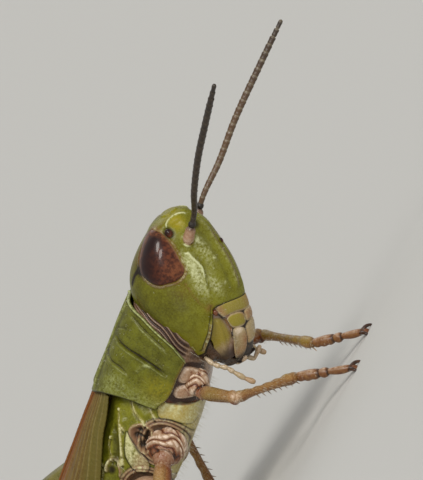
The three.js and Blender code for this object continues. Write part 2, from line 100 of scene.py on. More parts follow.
# ---- curves ---------------------------------------------------------------------------------
def blend(rows, at):
    """The columns of rows after the first, as smooth functions of the first, read at many places."""
    rows = np.array(sorted(map(tuple, rows)), float)
    knots, values = rows[:, 0], rows[:, 1:]
    slope = np.gradient(values, knots, axis=0)
    at = np.clip(at, knots[0], knots[-1])
    i = np.clip(np.searchsorted(knots, at) - 1, 0, len(knots) - 2)
    step = (knots[i + 1] - knots[i])[:, None]
    s = (at - knots[i])[:, None] / step
    rise = values[i + 1] - values[i]
    eased = values[i] + rise * s * s * (3 - 2 * s)
    return eased + step * slope[i] * s * (1 - s) ** 2 - step * slope[i + 1] * s * s * (1 - s)


def course(points, count=40):
    """Evenly spaced points on a smooth curve through the given ones."""
    points = np.array(points, float)
    run = np.r_[0, np.cumsum(np.linalg.norm(np.diff(points, axis=0), axis=1))]
    fine = blend(np.c_[run, points], np.linspace(0, run[-1], count * 6))
    length = np.r_[0, np.cumsum(np.linalg.norm(np.diff(fine, axis=0), axis=1))]
    even = np.linspace(0, length[-1], count)
    return np.stack([np.interp(even, length, column) for column in fine.T], 1)


def smooth(low, high, value):
    s = np.clip((value - low) / (high - low), 0, 1)
    return s * s * (3 - 2 * s)


def peak(far, width):
    """One where far is nothing, dying away over a width."""
    return np.exp(-((far / width) ** 2))


def soft_past(far, rounding):
    """How far past an edge, rounded off where the edge is crossed."""
    return rounding * np.log1p(np.exp(np.clip(far / rounding, -30, 30)))


def pillow(depth, width):
    """The swell of a plate from its edge, by the depth within it."""
    return 1 - np.exp(-np.clip(depth, 0, 1) / width)


def unit(way):
    way = np.array(way, float)
    return way / np.linalg.norm(way)


def girths(size, rows):
    """Rows of a limb, whose heights and widths are given as shares of a size."""
    return [(share, size * high, size * wide) for share, high, wide in rows]


def limb_frame(start, end):
    """A straight limb's length, the way it runs, and the ways out to its side and upper side."""
    length = np.linalg.norm(end - start)
    way = (end - start) / length
    side = unit(np.cross(way, (0, 0, 1)))
    return length, way, side, np.cross(side, way)


def shifted(line, x=0.0, y=0.0, z=0.0):
    """A line moved along the axes."""
    return [(px + x, py + y, pz + z) for px, py, pz in line]


def rounded(turn, square):
    """Cosine and sine of a turn round a squared circle."""
    cos, sin = np.cos(turn), np.sin(turn)
    reach = (np.abs(cos) ** square + np.abs(sin) ** square) ** (-1 / square)
    return cos * reach, sin * reach


# ---- pieces ---------------------------------------------------------------------------------
PIECES = {}


def fresh(add, name, **how):
    """A new primitive, alone in the selection."""
    bpy.ops.object.select_all(action="DESELECT")
    add(**how)
    piece = bpy.context.object
    piece.name = piece.data.name = name
    PIECES[name] = piece
    return piece


def choose(*pieces):
    """Selects only these pieces; the first is the active one."""
    bpy.ops.object.select_all(action="DESELECT")
    for piece in pieces:
        piece.select_set(True)
    bpy.context.view_layer.objects.active = pieces[0]


def ball_of(name, sides, rings):
    """A sphere one unit in radius."""
    return fresh(bpy.ops.mesh.primitive_uv_sphere_add, name, segments=sides, ring_count=rings, radius=1)


def points_of(piece):
    at = np.empty(len(piece.data.vertices) * 3)
    piece.data.vertices.foreach_get("co", at)
    return at.reshape(-1, 3)


def put_points(piece, at):
    piece.data.vertices.foreach_set("co", np.ascontiguousarray(at, float).ravel())
    piece.data.update()


def normals_of(piece):
    normal = np.empty(len(piece.data.vertices) * 3)
    piece.data.vertex_normals.foreach_get("vector", normal)
    return normal.reshape(-1, 3)


def apply_modifier(piece, kind, **settings):
    choose(piece)
    modifier = piece.modifiers.new(kind, kind)
    for name, value in settings.items():
        setattr(modifier, name, value)
    bpy.ops.object.modifier_apply(modifier=modifier.name)


def turn_out(piece):
    """Makes every face of a mirrored piece look outwards again."""
    choose(piece)
    bpy.ops.object.mode_set(mode="EDIT")
    bpy.ops.mesh.select_all(action="SELECT")
    bpy.ops.mesh.flip_normals()
    bpy.ops.object.mode_set(mode="OBJECT")


def steps_of(table, at):
    """Straight-line reading of a table of (place, value) rows."""
    table = np.array(sorted(table), float)
    return np.interp(at, table[:, 0], table[:, 1])


def crumpled(at, size, seed):
    """Irregular folds, 0 in the creases and 1 on the crests, the same wherever they are asked for."""
    chance = np.random.default_rng(seed)
    ways = chance.normal(0, 1, (5, 3))
    ways /= np.linalg.norm(ways, axis=1)[:, None]
    phase = at @ ways.T / size * 2.2 + chance.uniform(0, 6, 5)
    bent = phase[:, 0] + 1.4 * np.sin(phase[:, 1] + 1.1 * np.sin(phase[:, 2]))
    fine = phase[:, 3] * 2.1 + 1.3 * np.sin(phase[:, 4] * 1.7)
    return np.clip(np.abs(np.sin(bent)) ** 0.7 * (0.75 + 0.25 * np.abs(np.sin(fine))), 0, 1)


def end_roll(share, cap, radius, last=True):
    """For a loft's end: how far its rim rolls inwards and on, and how far it is drawn shut."""
    left = np.clip(((share - 1 + cap) if last else (cap - share)) / cap, 0, 1)
    roll = np.clip(left / 0.6, 0, 1) * math.pi / 2
    shut = np.clip((left - 0.6) / 0.4, 0, 1)
    return radius * (1 - np.cos(roll)), radius * np.sin(roll), 1 - shut


def wrapped_ball(name, place, sides, rings):
    """A sphere laid out by place(share from pole to pole, turn round the axis)."""
    piece = ball_of(name, sides, rings)
    x, y, z = points_of(piece).T
    share = np.arccos(np.clip(z, -1, 1)) / np.pi
    put_points(piece, place(share, np.arctan2(y, x)))
    return piece


PALE, DARK, WARM, YELLOW = range(4)


class Clay:
    """A piece in its own frame, pushed and marked before it is set in place."""

    def __init__(self, piece, place=on_trunk):
        self.piece = piece
        self.place = place
        self.at = points_of(piece)
        self.mark = np.zeros((len(self.at), 4))
        self.find_normals()

    def find_normals(self):
        put_points(self.piece, self.at)
        self.normal = normals_of(self.piece)

    def folded(self, mirror=True):
        """The points, with the right half laid over the left."""
        at = self.at.copy()
        if mirror:
            at[:, 1] = np.abs(at[:, 1])
        return at

    def near(self, line, reach=1.0):
        """Distance to a line laid on the surface, and the share of the line that is nearest."""
        line = course(line)
        every = self.folded()
        low, high = line.min(0) - reach, line.max(0) + reach
        close = np.flatnonzero(((every > low) & (every < high)).all(1))
        best = np.full(len(every), np.inf)
        share = np.zeros(len(every))
        if not len(close):
            return best, share
        at, normal = every[close], self.normal[close].copy()
        normal[:, 1] *= np.where(self.at[close, 1] < 0, -1, 1)
        for i, point in enumerate(line):
            nearest = np.argmin(((at - point) ** 2).sum(1))
            line[i] = point - normal[nearest] * np.dot(point - at[nearest], normal[nearest])
        gaps, shares = np.full(len(at), np.inf), np.zeros(len(at))
        for i, (start, end) in enumerate(zip(line[:-1], line[1:])):
            way = end - start
            s = np.clip((at - start) @ way / max(way @ way, 1e-12), 0, 1)
            gap = np.linalg.norm(at - start - s[:, None] * way, axis=1)
            closer = gap < gaps
            gaps[closer] = gap[closer]
            shares[closer] = (i + s[closer]) / (len(line) - 1)
        best[close], share[close] = gaps, shares
        return best, share

    def along(self, line, width, ends=(0.12, 0.12)):
        """A soft band along a line, which dies away at its ends."""
        gap, share = self.near(line, 0.35 + 3 * width)
        band = peak(gap, width)
        if ends[0]:
            band *= smooth(0, ends[0], share)
        if ends[1]:
            band *= smooth(0, ends[1], 1 - share)
        return band

    def spot(self, centre, size, mirror=True, sharp=1.0):
        """A soft round patch of the given half sizes along X, Y and Z."""
        far = np.linalg.norm((self.folded(mirror) - centre) / size, axis=1)
        return np.exp(-(far ** (2 * sharp)))

    def inside(self, corners, flat):
        """Depth within a plate's outline, rounded at its corners; below zero outside it."""
        ring = flat(np.array(corners, float))
        for _ in range(2):
            after = np.roll(ring, -1, axis=0)
            ring = np.stack([0.75 * ring + 0.25 * after, 0.25 * ring + 0.75 * after], 1)
            ring = ring.reshape(-1, 2)
        spots = flat(self.folded())
        best = np.full(len(spots), np.inf)
        within = np.zeros(len(spots), bool)
        for start, end in zip(ring, np.roll(ring, -1, axis=0)):
            way = end - start
            s = np.clip((spots - start) @ way / max(way @ way, 1e-12), 0, 1)
            best = np.minimum(best, np.linalg.norm(spots - start - s[:, None] * way, axis=1))
            crosses = (start[1] > spots[:, 1]) != (end[1] > spots[:, 1])
            where = start[0] + (spots[:, 1] - start[1]) * way[0] / (way[1] or 1e-12)
            within ^= crosses & (spots[:, 0] < where)
        return np.where(within, best, -best)

    def push(self, amount):
        self.at += self.normal * np.asarray(amount)[:, None]

    def paint(self, channel, amount):
        self.mark[:, channel] = np.clip(self.mark[:, channel] + amount, 0, 1)

    def dab(self, channel, strength, centre, size, **how):
        self.paint(channel, strength * self.spot(centre, size, **how))

    def streak(self, channel, strength, line, width, **how):
        self.paint(channel, strength * self.along(line, width, **how))

    def swell(self, height, centre, size, **how):
        self.push(height * self.spot(centre, size, **how))

    def ridge(self, line, width, height, channel=None, strength=1.0, **how):
        band = self.along(line, width, **how)
        self.push(band * height)
        if channel is not None:
            self.paint(channel, band**1.5 * strength)

    def finish(self, material, slot, *nodes, angle=None):
        """Sets the piece in place, gives it its finish and hands it to the frame."""
        piece = self.piece
        put_points(piece, self.place(self.at) * MM)
        layer = piece.data.attributes.new("Marks", "FLOAT_COLOR", "POINT")
        layer.data.foreach_set("color", self.mark.ravel())
        hand_over(piece, material, slot, *nodes, angle=angle)
        return piece


def hand_over(piece, material, slot, *nodes, angle=None):
    choose(piece)
    if angle is None:
        bpy.ops.object.shade_smooth()
    else:
        bpy.ops.object.shade_smooth_by_angle(angle=math.radians(angle))
    piece.data.materials.clear()
    piece.data.materials.append(material)
    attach(piece, "root")
    if nodes:
        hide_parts(*nodes)


def ball(name, place, sides, rings, cap=0.06, dome=(0.1, 0.1)):
    """A sphere drawn out into a closed body by place(along, turn, out, bulge)."""

    def wrapped(share, turn):
        first = np.clip(share / cap, 0, 1) * math.pi / 2
        last = np.clip((1 - share) / cap, 0, 1) * math.pi / 2
        out = np.sin(first) * np.sin(last)
        bulge = dome[1] * np.cos(last) - dome[0] * np.cos(first)
        along = np.clip((share - cap) / (1 - 2 * cap), 0, 1)
        return place(along, turn, out, bulge)

    return wrapped_ball(name, wrapped, sides, rings)


def trunk_section(rows, x, turn, out=1.0, grow=0.0):
    """Points of a trunk's section from rows of [x, top, bottom, half width, lean, square]."""
    top, bottom, wide, lean, square = blend(rows, x).T
    across, up = rounded(turn, square)
    side = across * (1 - lean * up) * (wide + grow) * out
    return np.stack([x, side, (top + bottom) / 2 + up * ((top - bottom) / 2 + grow) * out], 1)


def trunk(name, rows, sides, rings, grow=0.0, dome=(0.1, 0.1), cap=0.06):
    def place(along, turn, out, bulge):
        x = rows[0][0] + (rows[-1][0] - rows[0][0]) * along
        at = trunk_section(rows, x, turn, out, grow)
        at[:, 0] -= bulge
        return at

    return ball(name, place, sides, rings, cap, dome)


def limb(name, joints, rows, sides=32, rings=60, dome=(0.5, 0.5), up=(0, 0, 1), cap=0.05, square=2):
    """A closed body along a smooth curve; rows are [share of its length, half height, half width]."""
    line = course(joints, 120)
    way = np.gradient(line, axis=0)
    way /= np.linalg.norm(way, axis=1)[:, None]
    side = np.cross(way, np.array(up, float))
    side /= np.linalg.norm(side, axis=1)[:, None]
    above = np.cross(side, way)
    knots = np.linspace(0, 1, len(line))

    def read(table, along):
        return np.stack([np.interp(along, knots, column) for column in table.T], 1)

    def place(along, turn, out, bulge):
        high, wide = blend(rows, along).T
        across, rise = rounded(turn, square)
        size = np.where(along < 0.5, blend(rows, np.zeros(1))[0, 0], blend(rows, np.ones(1))[0, 0])
        middle = read(line, along) + read(way, along) * (bulge * size)[:, None]
        beside = read(side, along) * (across * wide * out)[:, None]
        return middle + beside + read(above, along) * (rise * high * out)[:, None]

    return ball(name, place, sides, rings, cap, dome)


# ---- node helpers ---------------------------------------------------------------------------
def group(name, inputs, outputs):
    """A new shader group; inputs and outputs are (name, socket kind, default) rows."""
    tree = bpy.data.node_groups.new(name, "ShaderNodeTree")
    for label, kind, value in inputs:
        socket = tree.interface.new_socket(label, in_out="INPUT", socket_type="NodeSocket" + kind)
        if value is not None:
            socket.default_value = value
    for label, kind in outputs:
        tree.interface.new_socket(label, in_out="OUTPUT", socket_type="NodeSocket" + kind)
    return tree, tree.nodes.new("NodeGroupInput"), tree.nodes.new("NodeGroupOutput")


def node(tree, kind, inputs=(), **settings):
    """A node with its settings, its inputs linked from sockets or set to values."""
    made = tree.nodes.new("ShaderNode" + kind)
    for name, value in settings.items():
        setattr(made, name, value)
    for name, value in dict(inputs).items():
        if isinstance(value, bpy.types.NodeSocket):
            tree.links.new(value, made.inputs[name])
        else:
            made.inputs[name].default_value = value
    return made


def mix(tree, factor, first, second, blend_type="MIX"):
    return node(
        tree, "MixRGB", {"Fac": factor, "Color1": first, "Color2": second}, blend_type=blend_type,
    ).outputs["Color"]


def maths(tree, operation, *values):
    return node(tree, "Math", dict(enumerate(values)), operation=operation).outputs[0]


def span(tree, value, low, high, to_low=0.0, to_high=1.0):
    return node(
        tree, "MapRange",
        {"Value": value, "From Min": low, "From Max": high, "To Min": to_low, "To Max": to_high},
        interpolation_type="SMOOTHSTEP",
    ).outputs["Result"]


def noise(tree, place, scale, detail=3.0, rough=0.55):
    return node(
        tree, "TexNoise", {"Vector": place, "Scale": scale, "Detail": detail, "Roughness": rough},
    ).outputs["Fac"]


def in_millimetres(tree):
    """Object coordinates, in millimetres."""
    place = node(tree, "TexCoord").outputs["Object"]
    return node(
        tree, "VectorMath", {0: place, 1: (1 / MM,) * 3}, operation="MULTIPLY",
    ).outputs["Vector"]


def make_marks_group():
    """Lays the painted marks of a piece over its ground colour, breaking up their edges."""
    tree, given, out = group(
        "Painted marks",
        [
            ("Ground", "Color", (0.1, 0.1, 0.1, 1)), ("Place", "Vector", None),
            ("Pale", "Color", (0.5, 0.48, 0.35, 1)), ("Dark", "Color", (0.02, 0.012, 0.008, 1)),
            ("Warm", "Color", (0.2, 0.08, 0.03, 1)), ("Yellow", "Color", (0.4, 0.3, 0.05, 1)),
            ("Raggedness", "Float", 0.35),
        ],
        [("Color", "Color"), ("Darkness", "Float"), ("Paleness", "Float")],
    )
    marks = node(tree, "Attribute", attribute_name="Marks")
    parts = node(tree, "SeparateColor", {"Color": marks.outputs["Color"]})
    ragged = maths(tree, "SUBTRACT", noise(tree, given.outputs["Place"], 13.0, 5.0, 0.65), 0.5)
    ragged = maths(tree, "MULTIPLY", ragged, given.outputs["Raggedness"])

    def edged(mask, amount):
        inside = maths(tree, "MULTIPLY", mask, maths(tree, "SUBTRACT", 1.0, mask))
        moved = maths(tree, "MULTIPLY_ADD", maths(tree, "MULTIPLY", ragged, inside), amount, mask)
        return maths(tree, "MINIMUM", maths(tree, "MAXIMUM", moved, 0.0), 1.0)

    dark = edged(parts.outputs["Green"], 4.0)
    pale = edged(parts.outputs["Red"], 14.0)
    yellow = edged(marks.outputs["Alpha"], 8.0)
    color = mix(tree, yellow, given.outputs["Ground"], given.outputs["Yellow"])
    color = mix(tree, edged(parts.outputs["Blue"], 8.0), color, given.outputs["Warm"])
    color = mix(tree, pale, color, given.outputs["Pale"])
    color = mix(tree, dark, color, given.outputs["Dark"])
    tree.links.new(color, out.inputs["Color"])
    tree.links.new(dark, out.inputs["Darkness"])
    tree.links.new(pale, out.inputs["Paleness"])
    return tree


def make_grain_group():
    """Pits, wrinkles and blotches of insect cuticle, in millimetres."""
    tree, given, out = group(
        "Cuticle grain",
        [
            ("Place", "Vector", None), ("Pits per mm", "Float", 9.0), ("Pit depth", "Float", 1.0),
            ("Wrinkles", "Float", 0.4), ("Blotch size", "Float", 0.5),
        ],
        [("Height", "Float"), ("Pits", "Float"), ("Blotches", "Float"), ("Speckle", "Float")],
    )
    place = given.outputs["Place"]
    pits = node(
        tree, "TexVoronoi", {"Vector": place, "Scale": given.outputs["Pits per mm"], "Randomness": 1.0},
        feature="SMOOTH_F1",
    ).outputs["Distance"]
    hole = span(tree, pits, 0.08, 0.34)
    wrinkle = noise(tree, place, 18.0, 5.0, 0.6)
    height = maths(tree, "MULTIPLY", hole, given.outputs["Pit depth"])
    height = maths(tree, "MULTIPLY_ADD", wrinkle, given.outputs["Wrinkles"], height)
    blotch_scale = maths(tree, "DIVIDE", 1.0, given.outputs["Blotch size"])
    broad = node(
        tree, "TexNoise", {"Vector": place, "Scale": blotch_scale, "Detail": 5.0, "Roughness": 0.62},
    ).outputs["Fac"]
    tree.links.new(height, out.inputs["Height"])
    tree.links.new(maths(tree, "SUBTRACT", 1.0, hole), out.inputs["Pits"])
    tree.links.new(span(tree, broad, 0.38, 0.62), out.inputs["Blotches"])
    tree.links.new(span(tree, noise(tree, place, 22.0, 3.0), 0.42, 0.72), out.inputs["Speckle"])
    return tree


MARKS_GROUP = make_marks_group()
GRAIN_GROUP = make_grain_group()


def material(name, roughness=0.4, **shader):
    made = bpy.data.materials.new(name)
    made.use_nodes = True
    tree = made.node_tree
    principled = tree.nodes["Principled BSDF"]
    principled.inputs["Roughness"].default_value = roughness
    for label, value in shader.items():
        principled.inputs[label.replace("_", " ")].default_value = value
    return made, tree, principled


def cuticle(
    name, ground, blotch, speckle, pits=9.0, depth=1.0, wrinkles=0.4, blotch_size=0.5, roughness=0.4,
    bump=0.012, pit_shade=0.25, pale=(0.5, 0.48, 0.35), dark=(0.02, 0.012, 0.008),
    warm=(0.2, 0.08, 0.03), yellow=(0.4, 0.3, 0.05), ragged=0.35, **shader,
):
    """Insect shell: a blotched ground with speckles and pits, and the piece's own marks on it."""
    made, tree, principled = material(name, roughness, **shader)
    place = in_millimetres(tree)
    grain = node(tree, "Group", node_tree=GRAIN_GROUP)
    tree.links.new(place, grain.inputs["Place"])
    for label, value in {
        "Pits per mm": pits, "Pit depth": depth, "Wrinkles": wrinkles, "Blotch size": blotch_size,
    }.items():
        grain.inputs[label].default_value = value
    color = mix(tree, grain.outputs["Blotches"], (*ground, 1), (*blotch, 1))
    speck = maths(tree, "MULTIPLY", grain.outputs["Speckle"], 0.5)
    color = mix(tree, speck, color, (*speckle, 1))
    shade = maths(tree, "MULTIPLY", grain.outputs["Pits"], pit_shade)
    color = mix(tree, shade, color, (*(0.35 * np.array(ground)), 1))
    marks = node(tree, "Group", {"Ground": color, "Place": place}, node_tree=MARKS_GROUP)
    for label, value in {"Pale": pale, "Dark": dark, "Warm": warm, "Yellow": yellow}.items():
        marks.inputs[label].default_value = (*value, 1)
    marks.inputs["Raggedness"].default_value = ragged
    tree.links.new(marks.outputs["Color"], principled.inputs["Base Color"])
    dull = maths(tree, "MULTIPLY_ADD", grain.outputs["Speckle"], 0.16, roughness - 0.08)
    dull = maths(tree, "MULTIPLY_ADD", marks.outputs["Darkness"], 0.15, dull)
    tree.links.new(dull, principled.inputs["Roughness"])
    relief = node(
        tree, "Bump", {"Height": grain.outputs["Height"], "Strength": 1.0, "Distance": bump * MM},
    )
    tree.links.new(relief.outputs["Normal"], principled.inputs["Normal"])
    return made


GREEN = dict(
    ground=(0.14, 0.132, 0.004), blotch=(0.185, 0.182, 0.009), speckle=(0.23, 0.24, 0.03),
    pale=(0.6, 0.62, 0.34), dark=(0.014, 0.008, 0.003), warm=(0.16, 0.075, 0.01),
    yellow=(0.3, 0.25, 0.008), ragged=0.9, Specular_IOR_Level=0.3,
)
HEAD_GREEN = cuticle(
    "green head shell", **GREEN, pits=20, depth=0.3, wrinkles=0.5, blotch_size=0.3, roughness=0.34,
    bump=0.007, pit_shade=0.1,
)
SHIELD_GREEN = cuticle(
    "green pronotum shell",
    **{
        **GREEN, "ground": (0.085, 0.083, 0.004), "blotch": (0.135, 0.138, 0.009),
        "speckle": (0.17, 0.185, 0.03), "pale": (0.42, 0.46, 0.2),
    },
    pits=14, depth=0.8, roughness=0.4, bump=0.009, blotch_size=0.4, pit_shade=0.3,
)
CHEST_GREEN = cuticle(
    "green and yellow chest shell",
    **{
        **GREEN, "ground": (0.105, 0.105, 0.006), "pale": (0.62, 0.6, 0.32),
        "yellow": (0.42, 0.32, 0.08), "warm": (0.27, 0.145, 0.08),
    },
    pits=12, depth=0.6, roughness=0.36, bump=0.01,
)
BELLY_GREEN = cuticle(
    "green abdomen shell", ground=(0.085, 0.105, 0.012), blotch=(0.13, 0.15, 0.02),
    speckle=(0.19, 0.21, 0.06), pale=(0.42, 0.42, 0.2), dark=(0.025, 0.018, 0.008),
    warm=(0.16, 0.08, 0.025), yellow=(0.3, 0.27, 0.05), pits=16, depth=0.5, roughness=0.42, bump=0.008,
)
LIP_SHELL = cuticle(
    "tan lip plates", ground=(0.34, 0.25, 0.12), blotch=(0.42, 0.32, 0.16), speckle=(0.48, 0.39, 0.24),
    pale=(0.72, 0.6, 0.46), dark=(0.02, 0.01, 0.005), warm=(0.3, 0.13, 0.045),
    yellow=(0.28, 0.23, 0.016), pits=18, depth=0.3, roughness=0.3, bump=0.006, ragged=0.6,
)
JAW_SHELL = cuticle(
    "olive and grey jaw shell", ground=(0.24, 0.165, 0.08), blotch=(0.29, 0.21, 0.1),
    speckle=(0.34, 0.26, 0.15), pale=(0.55, 0.45, 0.36), dark=(0.02, 0.008, 0.005),
    warm=(0.17, 0.09, 0.06), yellow=(0.25, 0.195, 0.018), pits=18, depth=0.3, roughness=0.28,
    bump=0.006, ragged=0.6,
)
FLESH_SHELL = cuticle(
    "pinkish brown joint skin", ground=(0.35, 0.2, 0.11), blotch=(0.46, 0.3, 0.19),
    speckle=(0.52, 0.38, 0.27), pale=(0.8, 0.64, 0.5), dark=(0.03, 0.01, 0.005),
    warm=(0.19, 0.05, 0.014), yellow=(0.4, 0.28, 0.07), pits=16, depth=0.3, wrinkles=1.0, roughness=0.2,
    blotch_size=0.22, ragged=0.8,
)
MOUTH_SKIN = cuticle(
    "dark brown mouth skin", ground=(0.035, 0.02, 0.011), blotch=(0.06, 0.036, 0.02),
    speckle=(0.1, 0.065, 0.04), pale=(0.4, 0.32, 0.22), dark=(0.01, 0.006, 0.004),
    warm=(0.1, 0.05, 0.028), wrinkles=1.2, roughness=0.3,
)
LEG_SHELL = cuticle(
    "rusty leg shell", ground=(0.24, 0.11, 0.028), blotch=(0.32, 0.17, 0.05), speckle=(0.4, 0.26, 0.11),
    pale=(0.62, 0.46, 0.32), dark=(0.035, 0.012, 0.005), warm=(0.17, 0.042, 0.009),
    yellow=(0.27, 0.2, 0.028), pits=16, depth=0.5, roughness=0.32, blotch_size=0.2, ragged=0.9,
)
HIND_SHELL = cuticle(
    "olive hind leg shell", ground=(0.13, 0.12, 0.022), blotch=(0.18, 0.155, 0.035),
    speckle=(0.22, 0.19, 0.07), pale=(0.45, 0.4, 0.24), dark=(0.035, 0.022, 0.012),
    warm=(0.2, 0.09, 0.03), yellow=(0.28, 0.25, 0.05), pits=14, roughness=0.38,
)
FEELER_SHELL = cuticle(
    "dark feeler shell", ground=(0.02, 0.014, 0.01), blotch=(0.03, 0.02, 0.014),
    speckle=(0.05, 0.036, 0.026), pale=(0.24, 0.2, 0.13), dark=(0.01, 0.007, 0.006),
    warm=(0.15, 0.08, 0.035), pits=20, depth=0.8, bump=0.005, roughness=0.38,
)
WING_SHELL = cuticle(
    "brown forewing", ground=(0.12, 0.066, 0.012), blotch=(0.15, 0.09, 0.018),
    speckle=(0.2, 0.14, 0.04), pale=(0.28, 0.22, 0.08), dark=(0.035, 0.018, 0.006),
    warm=(0.24, 0.08, 0.018), yellow=(0.11, 0.105, 0.015), pits=10, depth=0.5, roughness=0.4,
    Specular_IOR_Level=0.3,
)


def two_tone(name, roughness, scale, first, second):
    """A plain material in two tones that drift into each other."""
    made, tree, principled = material(name, roughness=roughness)
    tone = span(tree, noise(tree, in_millimetres(tree), scale), 0.3, 0.7)
    color = mix(tree, tone, (*first, 1), (*second, 1))
    tree.links.new(color, principled.inputs["Base Color"])
    return made


def make_eye_material():
    """Red-brown, darker above and behind, with rows of tiny facets under a glossy coat."""
    made, tree, principled = material(
        "red-brown faceted eye", roughness=0.3, Specular_IOR_Level=0.2, Coat_Weight=0.4,
        Coat_Roughness=0.06,
    )
    place = in_millimetres(tree)
    facets = node(
        tree, "TexVoronoi", {"Vector": place, "Scale": 40.0, "Randomness": 0.3},
    ).outputs["Distance"]
    marks = node(tree, "Attribute", attribute_name="Marks")
    parts = node(tree, "SeparateColor", {"Color": marks.outputs["Color"]})
    cloud = span(tree, noise(tree, place, 9.0, 5.0, 0.65), 0.36, 0.64)
    color = mix(tree, cloud, (0.05, 0.008, 0.003, 1), (0.17, 0.04, 0.013, 1))
    color = mix(tree, parts.outputs["Green"], color, (0.014, 0.003, 0.003, 1))
    warm = maths(tree, "MULTIPLY", parts.outputs["Blue"], maths(tree, "MULTIPLY_ADD", cloud, 0.8, 0.2))
    color = mix(tree, warm, color, (0.3, 0.1, 0.035, 1))
    color = mix(tree, maths(tree, "MULTIPLY", facets, 0.6), color, (0.02, 0.006, 0.004, 1))
    color = mix(tree, parts.outputs["Red"], color, (0.34, 0.2, 0.09, 1))
    tree.links.new(color, principled.inputs["Base Color"])
    relief = node(tree, "Bump", {"Height": facets, "Strength": 0.3, "Distance": 0.004 * MM})
    relief.invert = True
    tree.links.new(relief.outputs["Normal"], principled.inputs["Normal"])
    return made


CLAW_HORN = two_tone("dark horn", 0.2, 6.0, (0.022, 0.01, 0.006), (0.075, 0.032, 0.016))
THORN_HORN = two_tone("amber thorn horn", 0.28, 6.0, (0.16, 0.09, 0.04), (0.34, 0.22, 0.11))
EYE_GLOSS = make_eye_material()
HAIR_WHITE = two_tone("white hair", 0.4, 8.0, (0.5, 0.47, 0.36), (0.75, 0.73, 0.62))

# ---- head -----------------------------------------------------------------------------------
HEAD_ROWS = [  # height, front, back, half width, sharpness of the front
    (1.52, 0.95, 0.42, 0.24, 1.8),
    (1.45, 1.1, 0.14, 0.46, 1.8),
    (1.24, 1.28, -0.24, 0.68, 1.7),
    (0.95, 1.47, -0.68, 0.88, 1.5),
    (0.55, 1.58, -1.12, 1.08, 1.35),
    (0.0, 1.64, -1.4, 1.26, 1.3),
    (-0.55, 1.64, -1.46, 1.35, 1.3),
    (-1.1, 1.54, -1.32, 1.38, 1.35),
    (-1.6, 1.38, -1.14, 1.3, 1.45),
    (-2.2, 1.24, -0.9, 1.14, 1.6),
    (-2.8, 0.98, -0.44, 0.88, 1.8),
    (-3.25, 0.68, -0.05, 0.5, 2.0),
]
# The lower edge of the skull as x and z: up from the face's foot to the mouth's corner, down to
# the foot of the cheek, and up again to the back of the head.
SKULL_FOOT = [
    (-2.0, -1.3), (-1.3, -1.78), (-0.85, -2.16), (-0.5, -2.34), (-0.17, -2.3), (0.0, -2.14),
    (0.23, -1.94), (0.46, -1.64), (0.66, -1.3), (0.8, -1.28), (0.99, -1.36), (1.2, -1.46),
    (1.35, -1.55), (1.8, -1.62),
]
LIP_BACK = [
    (-1.3, 0.68), (-1.62, 0.77), (-1.92, 0.79), (-2.15, 0.77), (-2.39, 0.71), (-2.65, 0.58),
    (-2.88, 0.45), (-3.2, 0.32),
]
JAW_BACK = [
    (-1.42, 0.56), (-1.57, 0.41), (-1.88, 0.19), (-2.15, -0.01), (-2.32, -0.1), (-2.6, -0.06),
    (-2.85, 0.15),
]


def head_section(z, turn, inset=0.0, shrink=1.0):
    """Points of the head's section, drawn in by an inset and shut towards its middle."""
    front, back, wide, sharp = blend(HEAD_ROWS, z).T
    middle = back + (front - back) * 0.42
    ahead = np.cos(turn) > 0
    across, side = rounded(turn, np.where(ahead, sharp, 2.4))
    reach = np.where(ahead, front - middle, middle - back)
    x = middle + across * (reach - inset) * shrink
    return np.stack([x, side * (wide - inset) * shrink, z], 1)


def head_form(name, top, bottom, sides, rings):
    """A closed loft of the head's sections; its ends are heights, or functions of x."""

    def end(level, x):
        return level(x) if callable(level) else np.full(len(x), float(level))

    def place(share, turn):
        cap = 0.035
        rolls = [end_roll(share, cap, 0.04, last=False), end_roll(share, cap, 0.04)]
        along = np.clip((share - cap) / (1 - 2 * cap), 0, 1)
        x = np.zeros(len(share))
        for _ in range(14):
            z = end(top, x) + (end(bottom, x) - end(top, x)) * along
            x = 0.4 * x + 0.6 * head_section(z, turn)[:, 0]
        at = head_section(z, turn, rolls[0][0] + rolls[1][0], rolls[0][2] * rolls[1][2])
        at[:, 2] += rolls[0][1] - rolls[1][1]
        return at

    return wrapped_ball(name, place, sides, rings)


def head_width(x, z):
    """Half the head's width at a place seen from its side."""
    front, back, wide, sharp = blend(HEAD_ROWS, z).T
    middle = back + (front - back) * 0.42
    ahead = x > middle
    reach = np.where(ahead, front - middle, middle - back)
    power = np.where(ahead, sharp, 2.4)
    return wide * (1 - np.clip(np.abs(x - middle) / reach, 0, 0.999) ** power) ** (1 / power)


def round_face(at):
    """Places on the head as the way round it from the front, and the height."""
    return np.stack([np.arctan2(at[:, 1], at[:, 0] - 0.1), at[:, 2]], 1)


def from_side(at):
    return at[:, [0, 2]]


# The x and z of the eye's edge on the head, from its top round the front.
EYE_RIM = [
    (0.2, 1.38), (0.38, 1.27), (0.51, 1.06), (0.57, 0.7), (0.57, 0.33), (0.53, 0.03), (0.36, -0.06),
    (0.0, 0.0), (-0.26, 0.07), (-0.48, 0.28), (-0.6, 0.56), (-0.54, 0.82), (-0.38, 1.05), (-0.1, 1.3),
]
EYE_MIDDLE = np.array([0.05, 0.62])


def eye_reach(angle):
    """Distance of the eye's edge from its middle, at an angle round the head's Y axis."""
    rim = np.array(EYE_RIM) - EYE_MIDDLE
    at = np.arctan2(rim[:, 1], rim[:, 0])
    reach = np.hypot(*rim.T)
    order = np.argsort(at)
    at, reach = at[order], reach[order]
    at = np.r_[at[-3:] - 2 * math.pi, at, at[:3] + 2 * math.pi]
    reach = np.r_[reach[-3:], reach, reach[:3]]
    return blend(np.c_[at, reach], angle)[:, 0]


